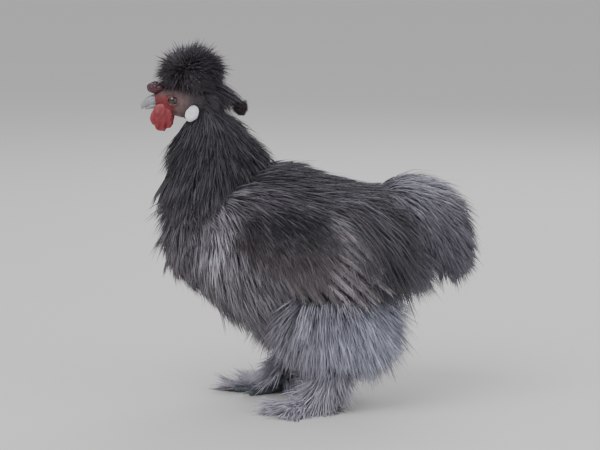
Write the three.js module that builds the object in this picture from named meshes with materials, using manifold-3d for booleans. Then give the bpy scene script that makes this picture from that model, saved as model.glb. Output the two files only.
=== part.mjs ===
// A silkie cockerel, life size, standing in profile with its head towards -X and its left side towards -Y.
// Millimetres, +Z up. The origin is on the floor under the middle of the bird.
// Each named mesh is one body part. A feathered part is a smooth core with tapered locks or vanes rooted in it.
import * as THREE from "three";
import { mergeVertices } from "three/addons/utils/BufferGeometryUtils.js";
import Module from "manifold-3d";

const wasm = await Module();
wasm.setup();

// Driving dimensions
const GAP = 0.35; // clear space kept between two parts
const FACE_X = -150; // where the beak leaves the face
const HEAD_Z = 301; // height of the eye line
const BEAK_LENGTH = 16;
const EYE = { x: -134, z: 300, ball: 6, bulge: 2.2 };
const CREST = { x: -117, z: 323.5, core: [19, 18, 15], reach: [33, 31, 33] };
const LEG_SPREAD = 42; // from the middle plane to each leg
const LEGS = {
  left: { side: -1, hip: 20, hock: 22, pad: 8 },
  right: { side: 1, hip: -8, hock: -16, pad: -36 },
};
const SHANK_TOP = 52;
const TOE_RADIUS = 3.6;
const FLAT = 0.45; // how deep the soles are pressed flat

// Finishes: colour, roughness
const FINISH = {
  hackle: [0x35323a, 0.95],
  body: [0x5a575f, 0.95],
  wing: [0x4c474d, 0.9],
  tail: [0x524f59, 0.95],
  fluff: [0x83838f, 0.97],
  skin: [0x8c2f33, 0.6],
  comb: [0x3a1420, 0.5],
  wattle: [0x9c2c33, 0.5],
  lobe: [0xd8d6d8, 0.55],
  beak: [0x6d747c, 0.4],
  eye: [0x120c0a, 0.08],
  shank: [0x3f444c, 0.6],
};

const V = THREE.Vector3;
const DOWN = new V(0, 0, -1);
const BACK = new V(1, 0, 0);
const ACROSS = new V(0, 1, 0);

// A repeatable draw between -1 and 1
function drawer(seed) {
  let state = seed;
  return () => {
    state = (state * 1664525 + 1013904223) % 4294967296;
    return (state / 4294967296) * 2 - 1;
  };
}

// A closed indexed surface as a solid, turned outwards if it came inside out
function solidOf(points, triangles) {
  const build = (faces) =>
    new wasm.Manifold(
      new wasm.Mesh({
        numProp: 3,
        vertProperties: new Float32Array(points.flatMap((p) => [p.x, p.y, p.z])),
        triVerts: new Uint32Array(faces.flat()),
      }),
    );
  const made = build(triangles);
  return made.volume() > 0 ? made : build(triangles.map(([a, b, c]) => [a, c, b]));
}

// A three.js shape placed by a matrix, as a solid
function solidOfGeometry(geometry, matrix = new THREE.Matrix4()) {
  const bare = geometry.clone().deleteAttribute("normal").deleteAttribute("uv").applyMatrix4(matrix);
  const merged = mergeVertices(bare, 1e-4);
  const place = merged.getAttribute("position");
  const points = Array.from({ length: place.count }, (_, i) => new V().fromBufferAttribute(place, i));
  const index = Array.from(merged.index.array);
  const triangles = Array.from({ length: index.length / 3 }, (_, i) => index.slice(3 * i, 3 * i + 3));
  return solidOf(points, triangles.filter(([a, b, c]) => a !== b && b !== c && a !== c));
}

// An ellipsoid of given half sizes, turned about the cross axis
function ball(centre, radii, detail = 2, turn = 0) {
  const matrix = new THREE.Matrix4().compose(
    centre,
    new THREE.Quaternion().setFromAxisAngle(ACROSS, turn),
    new V(...radii),
  );
  return solidOfGeometry(new THREE.IcosahedronGeometry(1, detail), matrix);
}

// Rings of equal count from a first pole to a last pole, closed into a solid
function ringsSolid(first, rings, last) {
  const sides = rings[0].length;
  const points = [first, ...rings.flat(), last];
  const at = (ring, i) => 1 + ring * sides + (i % sides);
  const triangles = [];
  for (let i = 0; i < sides; i++) {
    triangles.push([0, at(0, i + 1), at(0, i)]);
    triangles.push([points.length - 1, at(rings.length - 1, i), at(rings.length - 1, i + 1)]);
    for (let r = 0; r < rings.length - 1; r++) {
      triangles.push([at(r, i), at(r, i + 1), at(r + 1, i + 1)]);
      triangles.push([at(r, i), at(r + 1, i + 1), at(r + 1, i)]);
    }
  }
  return solidOf(points, triangles);
}

// A smooth round form carried along a path. A station gives a point of the path and the half sizes there.
class Trunk {
  constructor(stations, full = 2) {
    const curve = (points) => new THREE.CatmullRomCurve3(points, false, "catmullrom", 0.5);
    this.path = curve(stations.map((s) => new V(s.x, s.y ?? 0, s.z)));
    this.radii = curve(stations.map((s) => new V(s.up, s.side, 0)));
    this.full = full;
  }

  frame(along) {
    const centre = this.path.getPoint(along);
    const ahead = this.path.getTangent(along);
    const side = ACROSS.clone().addScaledVector(ahead, -ACROSS.dot(ahead)).normalize();
    const up = ahead.clone().cross(side);
    const radii = this.radii.getPoint(along);
    return { centre, ahead, side, up, halfUp: Math.max(radii.x, 0.3), halfSide: Math.max(radii.y, 0.3) };
  }

  // around 0 is the up side, and a quarter turn is the +Y side
  point(around, along, grow = 0) {
    const f = this.frame(along);
    const bend = (value) => Math.sign(value) * Math.abs(value) ** (2 / this.full);
    return f.centre
      .addScaledVector(f.up, (f.halfUp + grow) * bend(Math.cos(around)))
      .addScaledVector(f.side, (f.halfSide + grow) * bend(Math.sin(around)));
  }

  outward(around, along) {
    const step = 0.01;
    const low = Math.max(along - step, 0);
    const high = Math.min(along + step, 1);
    const onward = this.point(around, high).sub(this.point(around, low));
    const round = this.point(around + step, along).sub(this.point(around - step, along));
    const out = round.cross(onward).normalize();
    const away = this.point(around, along).sub(this.path.getPoint(along));
    return out.dot(away) < 0 ? out.negate() : out;
  }

  solid(sides, rings, grow = 0) {
    const at = (along) =>
      Array.from({ length: sides }, (_, i) => this.point((2 * Math.PI * i) / sides, along, grow));
    const pole = (along, sign) => {
      const f = this.frame(along);
      return f.centre.addScaledVector(f.ahead, sign * (0.35 * Math.min(f.halfUp, f.halfSide) + grow));
    };
    const levels = Array.from({ length: rings }, (_, i) => at(i / (rings - 1)));
    return ringsSolid(pole(0, -1), levels, pole(1, 1));
  }

  // Where a point stands against the section nearest to it: its offsets and its share of the way to the surface
  place(point, margin) {
    const steps = 40;
    let nearest = null;
    for (let i = 0; i <= steps; i++) {
      const f = this.frame(i / steps);
      const off = point.clone().sub(f.centre);
      const miss = Math.abs(off.dot(f.ahead));
      if (!nearest || miss < nearest.miss) nearest = { miss, f, off };
    }
    const { miss, f, off } = nearest;
    const up = off.dot(f.up);
    const side = off.dot(f.side);
    const share = miss > 12 ? 9 : Math.hypot(up / (f.halfUp + margin), side / (f.halfSide + margin));
    return { f, up, side, share };
  }

  holds(point, margin) {
    return this.place(point, margin).share < 1;
  }

  // Moves a point outwards until it is clear of the form by the margin
  clear(point, margin) {
    const { f, up, side, share } = this.place(point, margin);
    if (share >= 1 || share < 1e-3) return point;
    return point
      .clone()
      .addScaledVector(f.up, up / share - up)
      .addScaledVector(f.side, side / share - side);
  }

  // True where the point lies behind the form as seen from the side
  hides(point, margin) {
    const { f, up, share } = this.place(point, 0);
    return share < 9 && Math.abs(up) < f.halfUp + margin;
  }
}

// Where the sections of a lock stand along it, with their shares of its width and thickness
const LONG = [
  { t: 0, wide: 0.4, deep: 1 },
  { t: 0.42, wide: 1, deep: 0.9 },
  { t: 0.77, wide: 0.76, deep: 0.6 },
];
const SHORT = [
  { t: 0, wide: 0.42, deep: 1 },
  { t: 0.54, wide: 1, deep: 0.75 },
];

// One flat tapered lock or vane with a low ridge on its outer face. It leaves its root along start, bends by fall
// and ends in a point.
function lockSolid(lock, grow = 0) {
  const { root, out, lie, length, width, thick, lift, fall, sink = 4, clearOf = [], stops = SHORT } = lock;
  const start = lie.clone().multiplyScalar(Math.cos(lift)).addScaledVector(out, Math.sin(lift));
  const side = start.clone().cross(out).normalize();
  const foot = root.clone().addScaledVector(out, -sink);
  const middle = foot.clone().addScaledVector(start, 0.5 * length + sink);
  const finish = start.clone().add(fall).normalize();
  const end = middle.clone().addScaledVector(finish, 0.5 * length);
  const curve = new THREE.QuadraticBezierCurve3(foot, middle, end);
  const settle = (p) => clearOf.reduce((q, [trunk, margin]) => trunk.clear(q, margin), p);
  const rings = stops.map(({ t, wide, deep }) => {
    const along = curve.getTangent(t);
    const over = side.clone().cross(along).normalize();
    const centre = t ? settle(curve.getPoint(t)) : curve.getPoint(t);
    const high = Math.max((thick * deep) / 2, 0.35);
    const low = 0.7 * high;
    const mitre = (2.2 * grow) / (high + low);
    const half = ((width * wide) / 2) * (1 + mitre);
    const edge = centre.clone().addScaledVector(over, -low - grow);
    return [
      edge.clone().addScaledVector(side, half),
      centre.clone().addScaledVector(over, high + 1.2 * grow),
      edge.clone().addScaledVector(side, -half),
    ];
  });
  const foremost = rings[0].reduce((sum, p) => sum.addScaledVector(p, 1 / 3), new V());
  return ringsSolid(foremost, rings, settle(end).addScaledVector(finish, 5 * grow));
}

// The way feathers lie on a surface: a wanted direction laid flat on it
function layFlat(wanted, out) {
  return wanted.clone().addScaledVector(out, -wanted.dot(out)).normalize();
}

// Joins solids, keeping the largest closed body
function join(solids) {
  return largest(wasm.Manifold.union(solids));
}

function largest(solid) {
  const shells = solid.decompose().filter((s) => s.volume() > 0);
  return shells.reduce((a, b) => (b.volume() > a.volume() ? b : a));
}

function cut(solid, tools) {
  return largest(tools.reduce((left, tool) => left.subtract(tool), solid));
}

// A half space as a big box: what lies on the side of the plane that faces along normal
function beyond(point, normal) {
  const size = 600;
  const centre = point.clone().addScaledVector(normal, size / 2);
  const turn = new THREE.Quaternion().setFromUnitVectors(new V(0, 0, 1), normal);
  const matrix = new THREE.Matrix4().compose(centre, turn, new V(1, 1, 1));
  return solidOfGeometry(new THREE.BoxGeometry(size, size, size), matrix);
}

// Cores
const headTrunk = new Trunk([
  { x: -98, z: 298, up: 6, side: 6 },
  { x: -104, z: 299, up: 14, side: 13 },
  { x: -115, z: 301, up: 19, side: 16.5 },
  { x: -127, z: 302, up: 19.5, side: 16.5 },
  { x: -138, z: 301, up: 16, side: 13.5 },
  { x: -146, z: 299.5, up: 11.5, side: 10 },
  { x: FACE_X, z: 299, up: 8.5, side: 8 },
]);
const neckTrunk = new Trunk([
  { x: -112, z: 297, up: 15, side: 15 },
  { x: -105, z: 281, up: 24, side: 19 },
  { x: -100, z: 263, up: 35, side: 28 },
  { x: -96, z: 243, up: 46, side: 39 },
  { x: -94, z: 222, up: 51, side: 48 },
  { x: -90, z: 204, up: 45, side: 49 },
]);
const torsoTrunk = new Trunk(
  [
    { x: -133, z: 190, up: 16, side: 18 },
    { x: -125, z: 185, up: 38, side: 38 },
    { x: -102, z: 174, up: 59, side: 60 },
    { x: -66, z: 167, up: 76, side: 74 },
    { x: -20, z: 161, up: 76, side: 77 },
    { x: 26, z: 164, up: 64, side: 72 },
    { x: 62, z: 173, up: 50, side: 58 },
    { x: 80, z: 181, up: 38, side: 42 },
  ],
  2.1,
);
const tailTrunk = new Trunk([
  { x: 66, z: 193, up: 30, side: 33 },
  { x: 90, z: 199, up: 27, side: 37 },
  { x: 113, z: 190, up: 28, side: 37 },
  { x: 127, z: 167, up: 25, side: 31 },
  { x: 131, z: 146, up: 14, side: 17 },
]);

// Fused pieces that two nodes must keep clear of are built again, grown by the gap
class Plumage {
  constructor(core, locks) {
    this.core = core;
    this.locks = locks;
  }

  solid() {
    return join([this.core(0), ...this.locks.map((lock) => lockSolid(lock))]);
  }

  grown() {
    return wasm.Manifold.union([this.core(GAP), ...this.locks.map((lock) => lockSolid(lock, GAP))]);
  }
}

// Rows of locks round a trunk. Each row says where it stands, how many locks it has and how they lie.
function rowsOn(trunk, rows, draw) {
  return rows.flatMap((row, rowIndex) => {
    const { along, count, from = 0, to = 2 * Math.PI, wanted, shape, keep = () => true, clearOf = [] } = row;
    const whole = to - from > 6.28;
    return Array.from({ length: count }, (_, i) => {
      const stagger = rowIndex % 2 ? 0.5 : 0;
      const share = whole ? (i + stagger) / count : (i + 0.5) / count;
      const around = from + (to - from) * share + (0.12 * draw() * (to - from)) / count;
      const root = trunk.point(around, along);
      const out = trunk.outward(around, along);
      const lie = layFlat(wanted(root, out), out);
      const size = 1 + 0.1 * draw();
      const { length, ...rest } = shape(root, out);
      return { root, out, lie, length: length * size, clearOf: [[trunk, 2.5], ...clearOf], ...rest };
    }).filter((lock) => keep(lock.root, lock.out));
  });
}

// Head: skull, brow and lids round sunken eyes
function eyePlace(side) {
  const wide = 14.6;
  return new V(EYE.x, side * (wide - EYE.ball + EYE.bulge), EYE.z);
}

function eyeBall(side, grow = 0) {
  const r = EYE.ball + grow;
  return ball(eyePlace(side), [r, r, r], 2);
}

function lids(side) {
  const ring = new THREE.TorusGeometry(4.9, 1.25, 4, 12);
  const place = eyePlace(side).add(new V(0, side * 3.3, 0));
  const turn = new THREE.Quaternion().setFromEuler(new THREE.Euler(Math.PI / 2, 0, 0));
  const matrix = new THREE.Matrix4().compose(place, turn, new V(1.08, 1, 0.86));
  return solidOfGeometry(ring, matrix);
}

function headSolid(grow = 0) {
  const flat = beyond(new V(FACE_X - grow, 0, HEAD_Z), new V(-1, 0, 0));
  const skull = headTrunk.solid(18, 11, grow).subtract(flat);
  if (grow) return skull;
  const fused = join([skull, lids(-1), lids(1)]);
  return cut(fused, [-1, 1].map((side) => eyeBall(side, GAP)));
}

// Beak: short and stout, the upper half hooked over the lower
const upperBeak = new Trunk([
  { x: FACE_X - GAP + 3, z: 299.6, up: 6.6, side: 6.6 },
  { x: FACE_X - 5, z: 298.8, up: 5.6, side: 5.4 },
  { x: FACE_X - 10, z: 296.8, up: 4.2, side: 3.8 },
  { x: FACE_X - 14, z: 293.8, up: 2.5, side: 2.1 },
  { x: FACE_X - BEAK_LENGTH + 0.6, z: 291, up: 1, side: 0.9 },
]);
const lowerBeak = new Trunk([
  { x: FACE_X + 2, z: 294.2, up: 3.6, side: 5.6 },
  { x: FACE_X - 5, z: 293.6, up: 2.9, side: 4.4 },
  { x: FACE_X - 9, z: 292.2, up: 2, side: 2.9 },
  { x: FACE_X - 12, z: 290.8, up: 1, side: 1.4 },
]);

function beakUpper() {
  const mouth = lowerBeak.solid(10, 6, GAP);
  const face = beyond(new V(FACE_X - GAP, 0, HEAD_Z), new V(1, 0, 0));
  const nostrils = [-1, 1].map((side) =>
    ball(new V(FACE_X - 4.6, side * 5.6, 300.6), [2, 1.2, 0.9], 0, 0.3),
  );
  return cut(upperBeak.solid(12, 8), [mouth, face, ...nostrils]);
}

function beakLower() {
  return cut(lowerBeak.solid(10, 6), [beyond(new V(FACE_X - GAP, 0, HEAD_Z), new V(1, 0, 0))]);
}

// Comb: a low cushion of bulbs over the base of the beak, with three small points behind
function combSolid() {
  const draw = drawer(11);
  const cushion = ball(new V(-147, 0, 311.5), [11, 10, 5.2], 1, -0.12);
  const bulbs = [];
  for (let row = 0; row < 4; row++) {
    const count = [1, 2, 2, 2][row];
    for (let i = 0; i < count; i++) {
      const y = (i - (count - 1) / 2) * (5.4 + row) + 0.5 * draw();
      const x = -156.5 + row * 5.8 + 0.5 * draw();
      const size = 4.2 + 0.5 * draw();
      bulbs.push(ball(new V(x, y, 313.2 + row * 0.5 - 0.05 * y * y), [size, size, size], 1));
    }
  }
  const points = [-5, 0, 5].map((y) =>
    lockSolid({
      root: new V(-139, y, 314),
      out: new V(0.3, 0, 1).normalize(),
      lie: BACK,
      length: 9,
      width: 4,
      thick: 3.6,
      lift: 0.35,
      fall: new V(0, 0, 0),
      sink: 2,
    }),
  );
  return join([cushion, ...bulbs, ...points]);
}

// Wattle: a round hanging lobe with two soft folds
function wattleSolid(side) {
  const trunk = new Trunk([
    { x: -146, y: side * 8.4, z: 295, up: 4, side: 2.2 },
    { x: -145.4, y: side * 9.6, z: 289, up: 9, side: 3 },
    { x: -145, y: side * 10.4, z: 282, up: 11.6, side: 3.3 },
    { x: -145.2, y: side * 10.4, z: 275.5, up: 9.6, side: 3.4 },
    { x: -145.6, y: side * 9.8, z: 271, up: 4.4, side: 2.2 },
  ]);
  const folds = [-5, 3.4].map((dx, i) =>
    ball(new V(-145 + dx, side * 13, 282 - i), [1.9, 1.5, 8.4], 0, 0.12 * (i ? 1 : -1)),
  );
  return join([trunk.solid(12, 5), ...folds]);
}

// Ear lobe: a smooth pale oval leaning back at the top
function lobeSolid(side, grow = 0) {
  return ball(new V(-115.5, side * 17.6, 287.6), [6 + grow, 2.6 + grow, 8.6 + grow], 1, 0.45);
}

// Crest: a globe of locks on the skull with streamers falling behind it and a dark knot at their ends
function crestLocks() {
  const draw = drawer(23);
  const locks = [];
  const middle = new V(CREST.x, 0, CREST.z);
  const golden = Math.PI * (3 - Math.sqrt(5));
  const total = 22;
  for (let i = 0; i < total; i++) {
    const up = 1 - (1.42 * (i + 0.5)) / total;
    const flat = Math.sqrt(1 - up * up);
    const turn = golden * i;
    const out = new V(flat * Math.cos(turn), flat * Math.sin(turn), up);
    if (out.x < -0.3 && up < -0.1) continue;
    const root = middle.clone().add(new V(...CREST.core).multiply(out));
    const tip = middle.clone().add(new V(...CREST.reach).multiply(out));
    const lie = layFlat(new V(0.5, 0.3 * draw(), -0.6), out);
    locks.push({
      root,
      out,
      lie,
      length: root.distanceTo(tip) * (1.45 + 0.05 * draw()),
      width: 26,
      thick: 6,
      lift: 0.8,
      fall: new V(0.15, 0, -0.3),
      sink: 5,
    });
  }
  const streamers = 4;
  for (let i = 0; i < streamers; i++) {
    const share = (2 * i) / (streamers - 1) - 1;
    const root = middle.clone().add(new V(16, 14 * share, -8 + 4 * (i % 2)));
    locks.push({
      root,
      out: new V(0.45, 0.7 * share, 0.62).normalize(),
      lie: new V(1, 0.12 * share, -0.42).normalize(),
      length: 37 + 3 * draw(),
      width: 13,
      thick: 3.6,
      lift: 0.12,
      fall: new V(0, 0, -0.5),
      sink: 5,
      stops: LONG,
    });
  }
  return locks;
}

function crestKnot() {
  return ball(new V(-69.5, 0, 293.5), [7.4, 7, 8.4], 1, 0.4);
}

// Neck: hackle locks in rows that flare like a cape
function hackleRows() {
  const wanted = (root) => new V(0.004 * (root.x + 96), 0.004 * root.y, -1);
  const shape = (length) => (root) => ({
    length,
    width: 29,
    thick: 5,
    lift: root.x < -115 ? 0.17 : 0.46,
    fall: new V(0, 0, -0.6),
    stops: LONG,
  });
  const clearOf = [[torsoTrunk, 4]];
  const keep = (root) => !torsoTrunk.holds(root, 4);
  return [
    { along: 0.18, count: 6, wanted, shape: shape(35) },
    { along: 0.38, count: 7, wanted, shape: shape(41) },
    { along: 0.57, count: 8, wanted, keep, clearOf, shape: shape(41) },
    { along: 0.74, count: 8, wanted, keep, clearOf, shape: shape(37) },
  ];
}

// Torso: breast and flank locks run down and back, and the back's run rearwards
function torsoRows() {
  const wanted = (root, out) => {
    const topside = Math.max(out.z, 0);
    const rear = THREE.MathUtils.smoothstep(root.x, -110, 20);
    return new V(0.18 + 0.7 * rear + 1.6 * topside, 0, -1 + 0.95 * topside);
  };
  const keep = (root, out) => {
    const side = Math.sign(root.y) || 1;
    const leg = side < 0 ? LEGS.left : LEGS.right;
    const underNeck = root.x < -48 && root.z > 206;
    const atTail = root.x > 52 && out.x > 0.7;
    const underWing = Math.abs(out.y) > 0.35 && wingTrunk(side).hides(root, 13);
    return !underNeck && !atTail && !underWing && !thighTrunk(leg).holds(root, 9);
  };
  const clearOf = Object.values(LEGS).map((leg) => [thighTrunk(leg), 5]);
  const shape = (length) => (root) => ({
    length: length + (root.z < 125 ? 6 : 0),
    width: 40,
    thick: 5.6,
    lift: root.z > 212 ? 0.36 : 0.42,
    fall: new V(0, 0, -0.45),
  });
  const row = (along, count, length) => ({ along, count, wanted, keep, clearOf, shape: shape(length) });
  return [
    row(0.08, 5, 36),
    row(0.19, 8, 40),
    row(0.33, 8, 44),
    row(0.47, 10, 44),
    row(0.61, 9, 44),
    row(0.75, 8, 44),
    { ...row(0.88, 5, 40), from: Math.PI - 1.2, to: Math.PI + 1.2 },
  ];
}

// Saddle: long locks that hang from the rump behind the wings
function saddleRows() {
  const wanted = (root) => new V(0.42, 0.003 * root.y, -1);
  const shape = (length) => () => ({
    length,
    width: 24,
    thick: 5,
    lift: 0.42,
    fall: new V(-0.1, 0, -0.85),
    stops: LONG,
  });
  return [
    { along: 0.8, count: 5, from: -1.25, to: 1.25, wanted, shape: shape(66) },
    { along: 0.93, count: 8, from: -1.85, to: 1.85, wanted, shape: shape(84) },
  ];
}

// Tail: a soft mop of curved locks that spring back and fall like a fountain
function tailLocks() {
  const draw = drawer(71);
  const tiers = [
    { along: 0.3, count: 5, from: -1.4, to: 1.4, length: 45, lift: 0.42 },
    { along: 0.54, count: 5, from: -2.1, to: 2.1, length: 42, lift: 0.44 },
    { along: 0.76, count: 5, from: -2.6, to: 2.6, length: 40, lift: 0.4 },
    { along: 0.94, count: 4, from: -2.4, to: 2.4, length: 38, lift: 0.3 },
  ];
  return tiers.flatMap(({ along, count, from, to, length, lift }) =>
    Array.from({ length: count }, (_, i) => {
      const around = from + ((to - from) * (i + 0.5)) / count + 0.05 * draw();
      const root = tailTrunk.point(around, along);
      const out = tailTrunk.outward(around, along);
      return {
        root,
        out,
        lie: layFlat(new V(0.6, 0, -0.5), out),
        length: length * (1 + 0.08 * draw()),
        width: 34,
        thick: 5,
        lift,
        fall: new V(0, 0, -0.8),
        sink: 5,
        stops: LONG,
      };
    }),
  );
}

// Wing: a folded arm against the flank with coverts in rows and two tiers of flight feathers
function wingTrunk(side) {
  return new Trunk([
    { x: -76, y: side * 72, z: 192, up: 11, side: 4 },
    { x: -62, y: side * 79, z: 190, up: 25, side: 8 },
    { x: -32, y: side * 86, z: 181, up: 35, side: 9.5 },
    { x: 4, y: side * 87, z: 169, up: 37, side: 9 },
    { x: 32, y: side * 82, z: 152, up: 30, side: 7 },
    { x: 47, y: side * 77, z: 139, up: 15, side: 4.5 },
  ]);
}

function wingLocks(side) {
  const draw = drawer(91);
  const trunk = wingTrunk(side);
  const outer = side * (Math.PI / 2);
  const set = (around, along, lie, rest) => {
    const root = trunk.point(around, along);
    const out = trunk.outward(around, along);
    return { root, out, lie: layFlat(lie, out), clearOf: [[trunk, 2.4]], ...rest };
  };
  const coverts = [2, 3, 3, 2].flatMap((count, row) =>
    Array.from({ length: count }, (_, i) => {
      const around = outer + side * ((i + 0.5) / count - 0.5) * 2.2;
      const length = 33 + 3 * draw();
      const lie = new V(0.75, 0, -0.62 + 0.1 * draw());
      return set(around, 0.12 + 0.17 * row, lie, {
        length,
        width: 29,
        thick: 4.4,
        lift: 0.34,
        fall: new V(0, 0, -0.3),
      });
    }),
  );
  const flight = (count, along, length, width) =>
    Array.from({ length: count }, (_, i) => {
      const around = outer - side * (0.95 - (1.75 * i) / (count - 1));
      const lie = new V(0.82 - 0.04 * i, 0, -0.6 - 0.03 * i);
      return set(around, along, lie, {
        length: length - 3 * i,
        width,
        thick: 3,
        lift: 0.14 + 0.02 * (i % 2),
        fall: new V(0, 0, -0.2),
        stops: LONG,
      });
    });
  return [...coverts, ...flight(5, 0.7, 58, 16), ...flight(3, 0.88, 50, 14)];
}

// Thigh: a wide plume of fluff round the upper leg
function thighTrunk(leg) {
  const y = leg.side * LEG_SPREAD;
  return new Trunk([
    { x: leg.hip, y: y + leg.side * 4, z: 132, up: 32, side: 20 },
    { x: leg.hip + 1, y: y + leg.side * 6, z: 112, up: 47, side: 27 },
    { x: leg.hip + 2, y: y + leg.side * 4, z: 88, up: 49, side: 27 },
    { x: (leg.hip + leg.hock) / 2 + 1, y, z: 67, up: 37, side: 22 },
    { x: leg.hock, y, z: SHANK_TOP + 2, up: 14, side: 12 },
  ]);
}

function thighRows(leg) {
  const wanted = (root) => new V(0.01 * (root.x - leg.hip) + 0.12, 0.01 * (root.y - leg.side * LEG_SPREAD), -1);
  const outside = (root, out) => out.y * leg.side > -0.72;
  const shape = (length, lift = 0.55) => () => ({
    length,
    width: 33,
    thick: 5.6,
    lift,
    fall: new V(0, 0, -0.4),
  });
  return [
    { along: 0.3, count: 6, wanted, keep: outside, shape: shape(40) },
    { along: 0.53, count: 7, wanted, keep: outside, shape: shape(38) },
    { along: 0.76, count: 6, wanted, shape: shape(32) },
  ];
}

// Shank: the scaled lower leg, feathered down its outer side
function shankTrunk(leg) {
  const y = leg.side * LEG_SPREAD;
  return new Trunk([
    { x: leg.hock, y, z: SHANK_TOP - 1, up: 8, side: 7.4 },
    { x: leg.hock - 1, y, z: 42, up: 7, side: 6.2 },
    { x: (leg.hock + leg.pad) / 2, y, z: 28, up: 6.2, side: 5.6 },
    { x: leg.pad + 1, y, z: 13.5, up: 7, side: 6.6 },
  ]);
}

function shankLocks(leg) {
  const draw = drawer(131 + leg.side);
  const trunk = shankTrunk(leg);
  const row = (along, count, length) =>
    Array.from({ length: count }, (_, i) => {
      const around = leg.side * (0.2 + (3 * (i + 0.5)) / count);
      const root = trunk.point(around, along);
      const out = trunk.outward(around, along);
      return {
        root,
        out,
        lie: layFlat(new V(-0.1, 0, -1), out),
        length: length + 2 * draw(),
        width: 18,
        thick: 4,
        lift: 0.75,
        fall: new V(0, 0, -0.3),
        sink: 3,
      };
    });
  return [...row(0.28, 3, 34), ...row(0.6, 3, 32)];
}

// Foot: three front toes, a hind toe and the fifth toe that turns up above it, each with its claw
const TOES = [
  { name: "middle", yaw: 0.04, length: 40, claw: 9, height: TOE_RADIUS },
  { name: "outer", yaw: 0.62, length: 33, claw: 8, height: TOE_RADIUS },
  { name: "inner", yaw: -0.58, length: 29, claw: 8, height: TOE_RADIUS },
  { name: "hind", yaw: 2.75, length: 17, claw: 8, height: TOE_RADIUS },
  { name: "fifth", yaw: 3.75, length: 17, claw: 10, height: 12 },
];

function toeTrunk(leg, toe) {
  const head = new V(-Math.cos(toe.yaw), leg.side * Math.sin(toe.yaw), 0);
  const rise = toe.name === "fifth" ? 9 : 0;
  const from = new V(leg.pad, leg.side * LEG_SPREAD, toe.height + (rise ? 0 : 1.6));
  const at = (share, lift, wide) => {
    const p = from.clone().addScaledVector(head, 2 + share * toe.length);
    return { x: p.x, y: p.y, z: toe.height - FLAT + lift, up: wide, side: wide };
  };
  return new Trunk([
    at(0, rise ? 0 : 1.4, 4.4),
    at(0.35, rise * 0.2, TOE_RADIUS * 0.95),
    at(0.65, rise * 0.55, TOE_RADIUS * 0.98),
    at(0.92, rise, TOE_RADIUS * 0.86),
    at(1, rise * 1.1, TOE_RADIUS * 0.55),
  ]);
}

function clawSolid(leg, toe) {
  const trunk = toeTrunk(leg, toe);
  const { centre, ahead } = trunk.frame(0.93);
  const flat = new V(ahead.x, ahead.y, 0).normalize();
  const rise = toe.name === "fifth" ? 0.8 : 0.35;
  const tip = new Trunk([
    { ...centre.clone().addScaledVector(flat, -1), up: 2, side: 2 },
    { ...centre.clone().addScaledVector(flat, toe.claw * 0.45).add(new V(0, 0, rise)), up: 1.6, side: 1.4 },
    { ...centre.clone().addScaledVector(flat, toe.claw * 0.8).add(new V(0, 0, -0.6)), up: 0.9, side: 0.8 },
    { ...centre.clone().addScaledVector(flat, toe.claw).add(new V(0, 0, -1.7)), up: 0.35, side: 0.35 },
  ]);
  return tip.solid(5, 3);
}

function footLocks(leg) {
  const draw = drawer(171 + leg.side);
  const plan = [
    { toe: 1, places: [0.15, 0.45, 0.8], turn: 1.25 },
    { toe: 0, places: [0.5], turn: 0.7 },
  ];
  return plan.flatMap(({ toe, places, turn }) =>
    places.map((along) => {
      const trunk = toeTrunk(leg, TOES[toe]);
      const around = leg.side * turn;
      const root = trunk.point(around, along);
      const out = trunk.outward(around, along);
      const yaw = TOES[toe].yaw + 0.55 + 0.15 * draw();
      const lie = new V(-Math.cos(yaw), leg.side * Math.sin(yaw), -0.05).normalize();
      return {
        root,
        out: new V(0, 0, 1),
        lie,
        length: 33 + 3 * draw(),
        width: 17,
        thick: 3.4,
        lift: 0.34,
        fall: new V(0, 0, -0.3),
        sink: 1.5,
      };
    }),
  );
}

function footForm(leg, grow = 0) {
  const pad = new V(leg.pad + 1, leg.side * LEG_SPREAD, 5.75);
  return [
    ball(pad, [8.4, 7.6, 6.4].map((r) => r + grow), 1),
    ...TOES.map((toe) => toeTrunk(leg, toe).solid(6, 4, grow)),
    ...footLocks(leg).map((lock) => lockSolid(lock, grow)),
  ];
}

function footSolid(leg) {
  const claws = TOES.map((toe) => clawSolid(leg, toe));
  return cut(join([...footForm(leg), ...claws]), [beyond(new V(), DOWN)]);
}

// Assembly: each part is cut clear of those that it meets
const sides = { left: -1, right: 1 };
const parts = {};

parts.head = headSolid();
parts.beak_lower = beakLower();
parts.beak_upper = beakUpper();
const headRoom = wasm.Manifold.union([headSolid(GAP), upperBeak.solid(12, 8, GAP)]);
parts.comb = cut(combSolid(), [headRoom]);
for (const [name, side] of Object.entries(sides)) {
  parts[`eye_${name}`] = eyeBall(side);
  parts[`earlobe_${name}`] = cut(lobeSolid(side), [headSolid(GAP)]);
  parts[`wattle_${name}`] = cut(wattleSolid(side), [headRoom, lowerBeak.solid(10, 6, GAP)]);
}
const lobeRoom = wasm.Manifold.union([lobeSolid(-1, GAP), lobeSolid(1, GAP)]);
const combRoom = ball(new V(-147, 0, 312), [13.5, 14, 9.5], 2);

const crest = new Plumage(
  (grow) => ball(new V(CREST.x, 0, CREST.z), CREST.core.map((r) => r + grow), 2),
  crestLocks(),
);
parts.crest = cut(join([crest.solid(), crestKnot()]), [headSolid(GAP), combRoom, parts.head, parts.comb, lobeRoom]);

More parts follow.
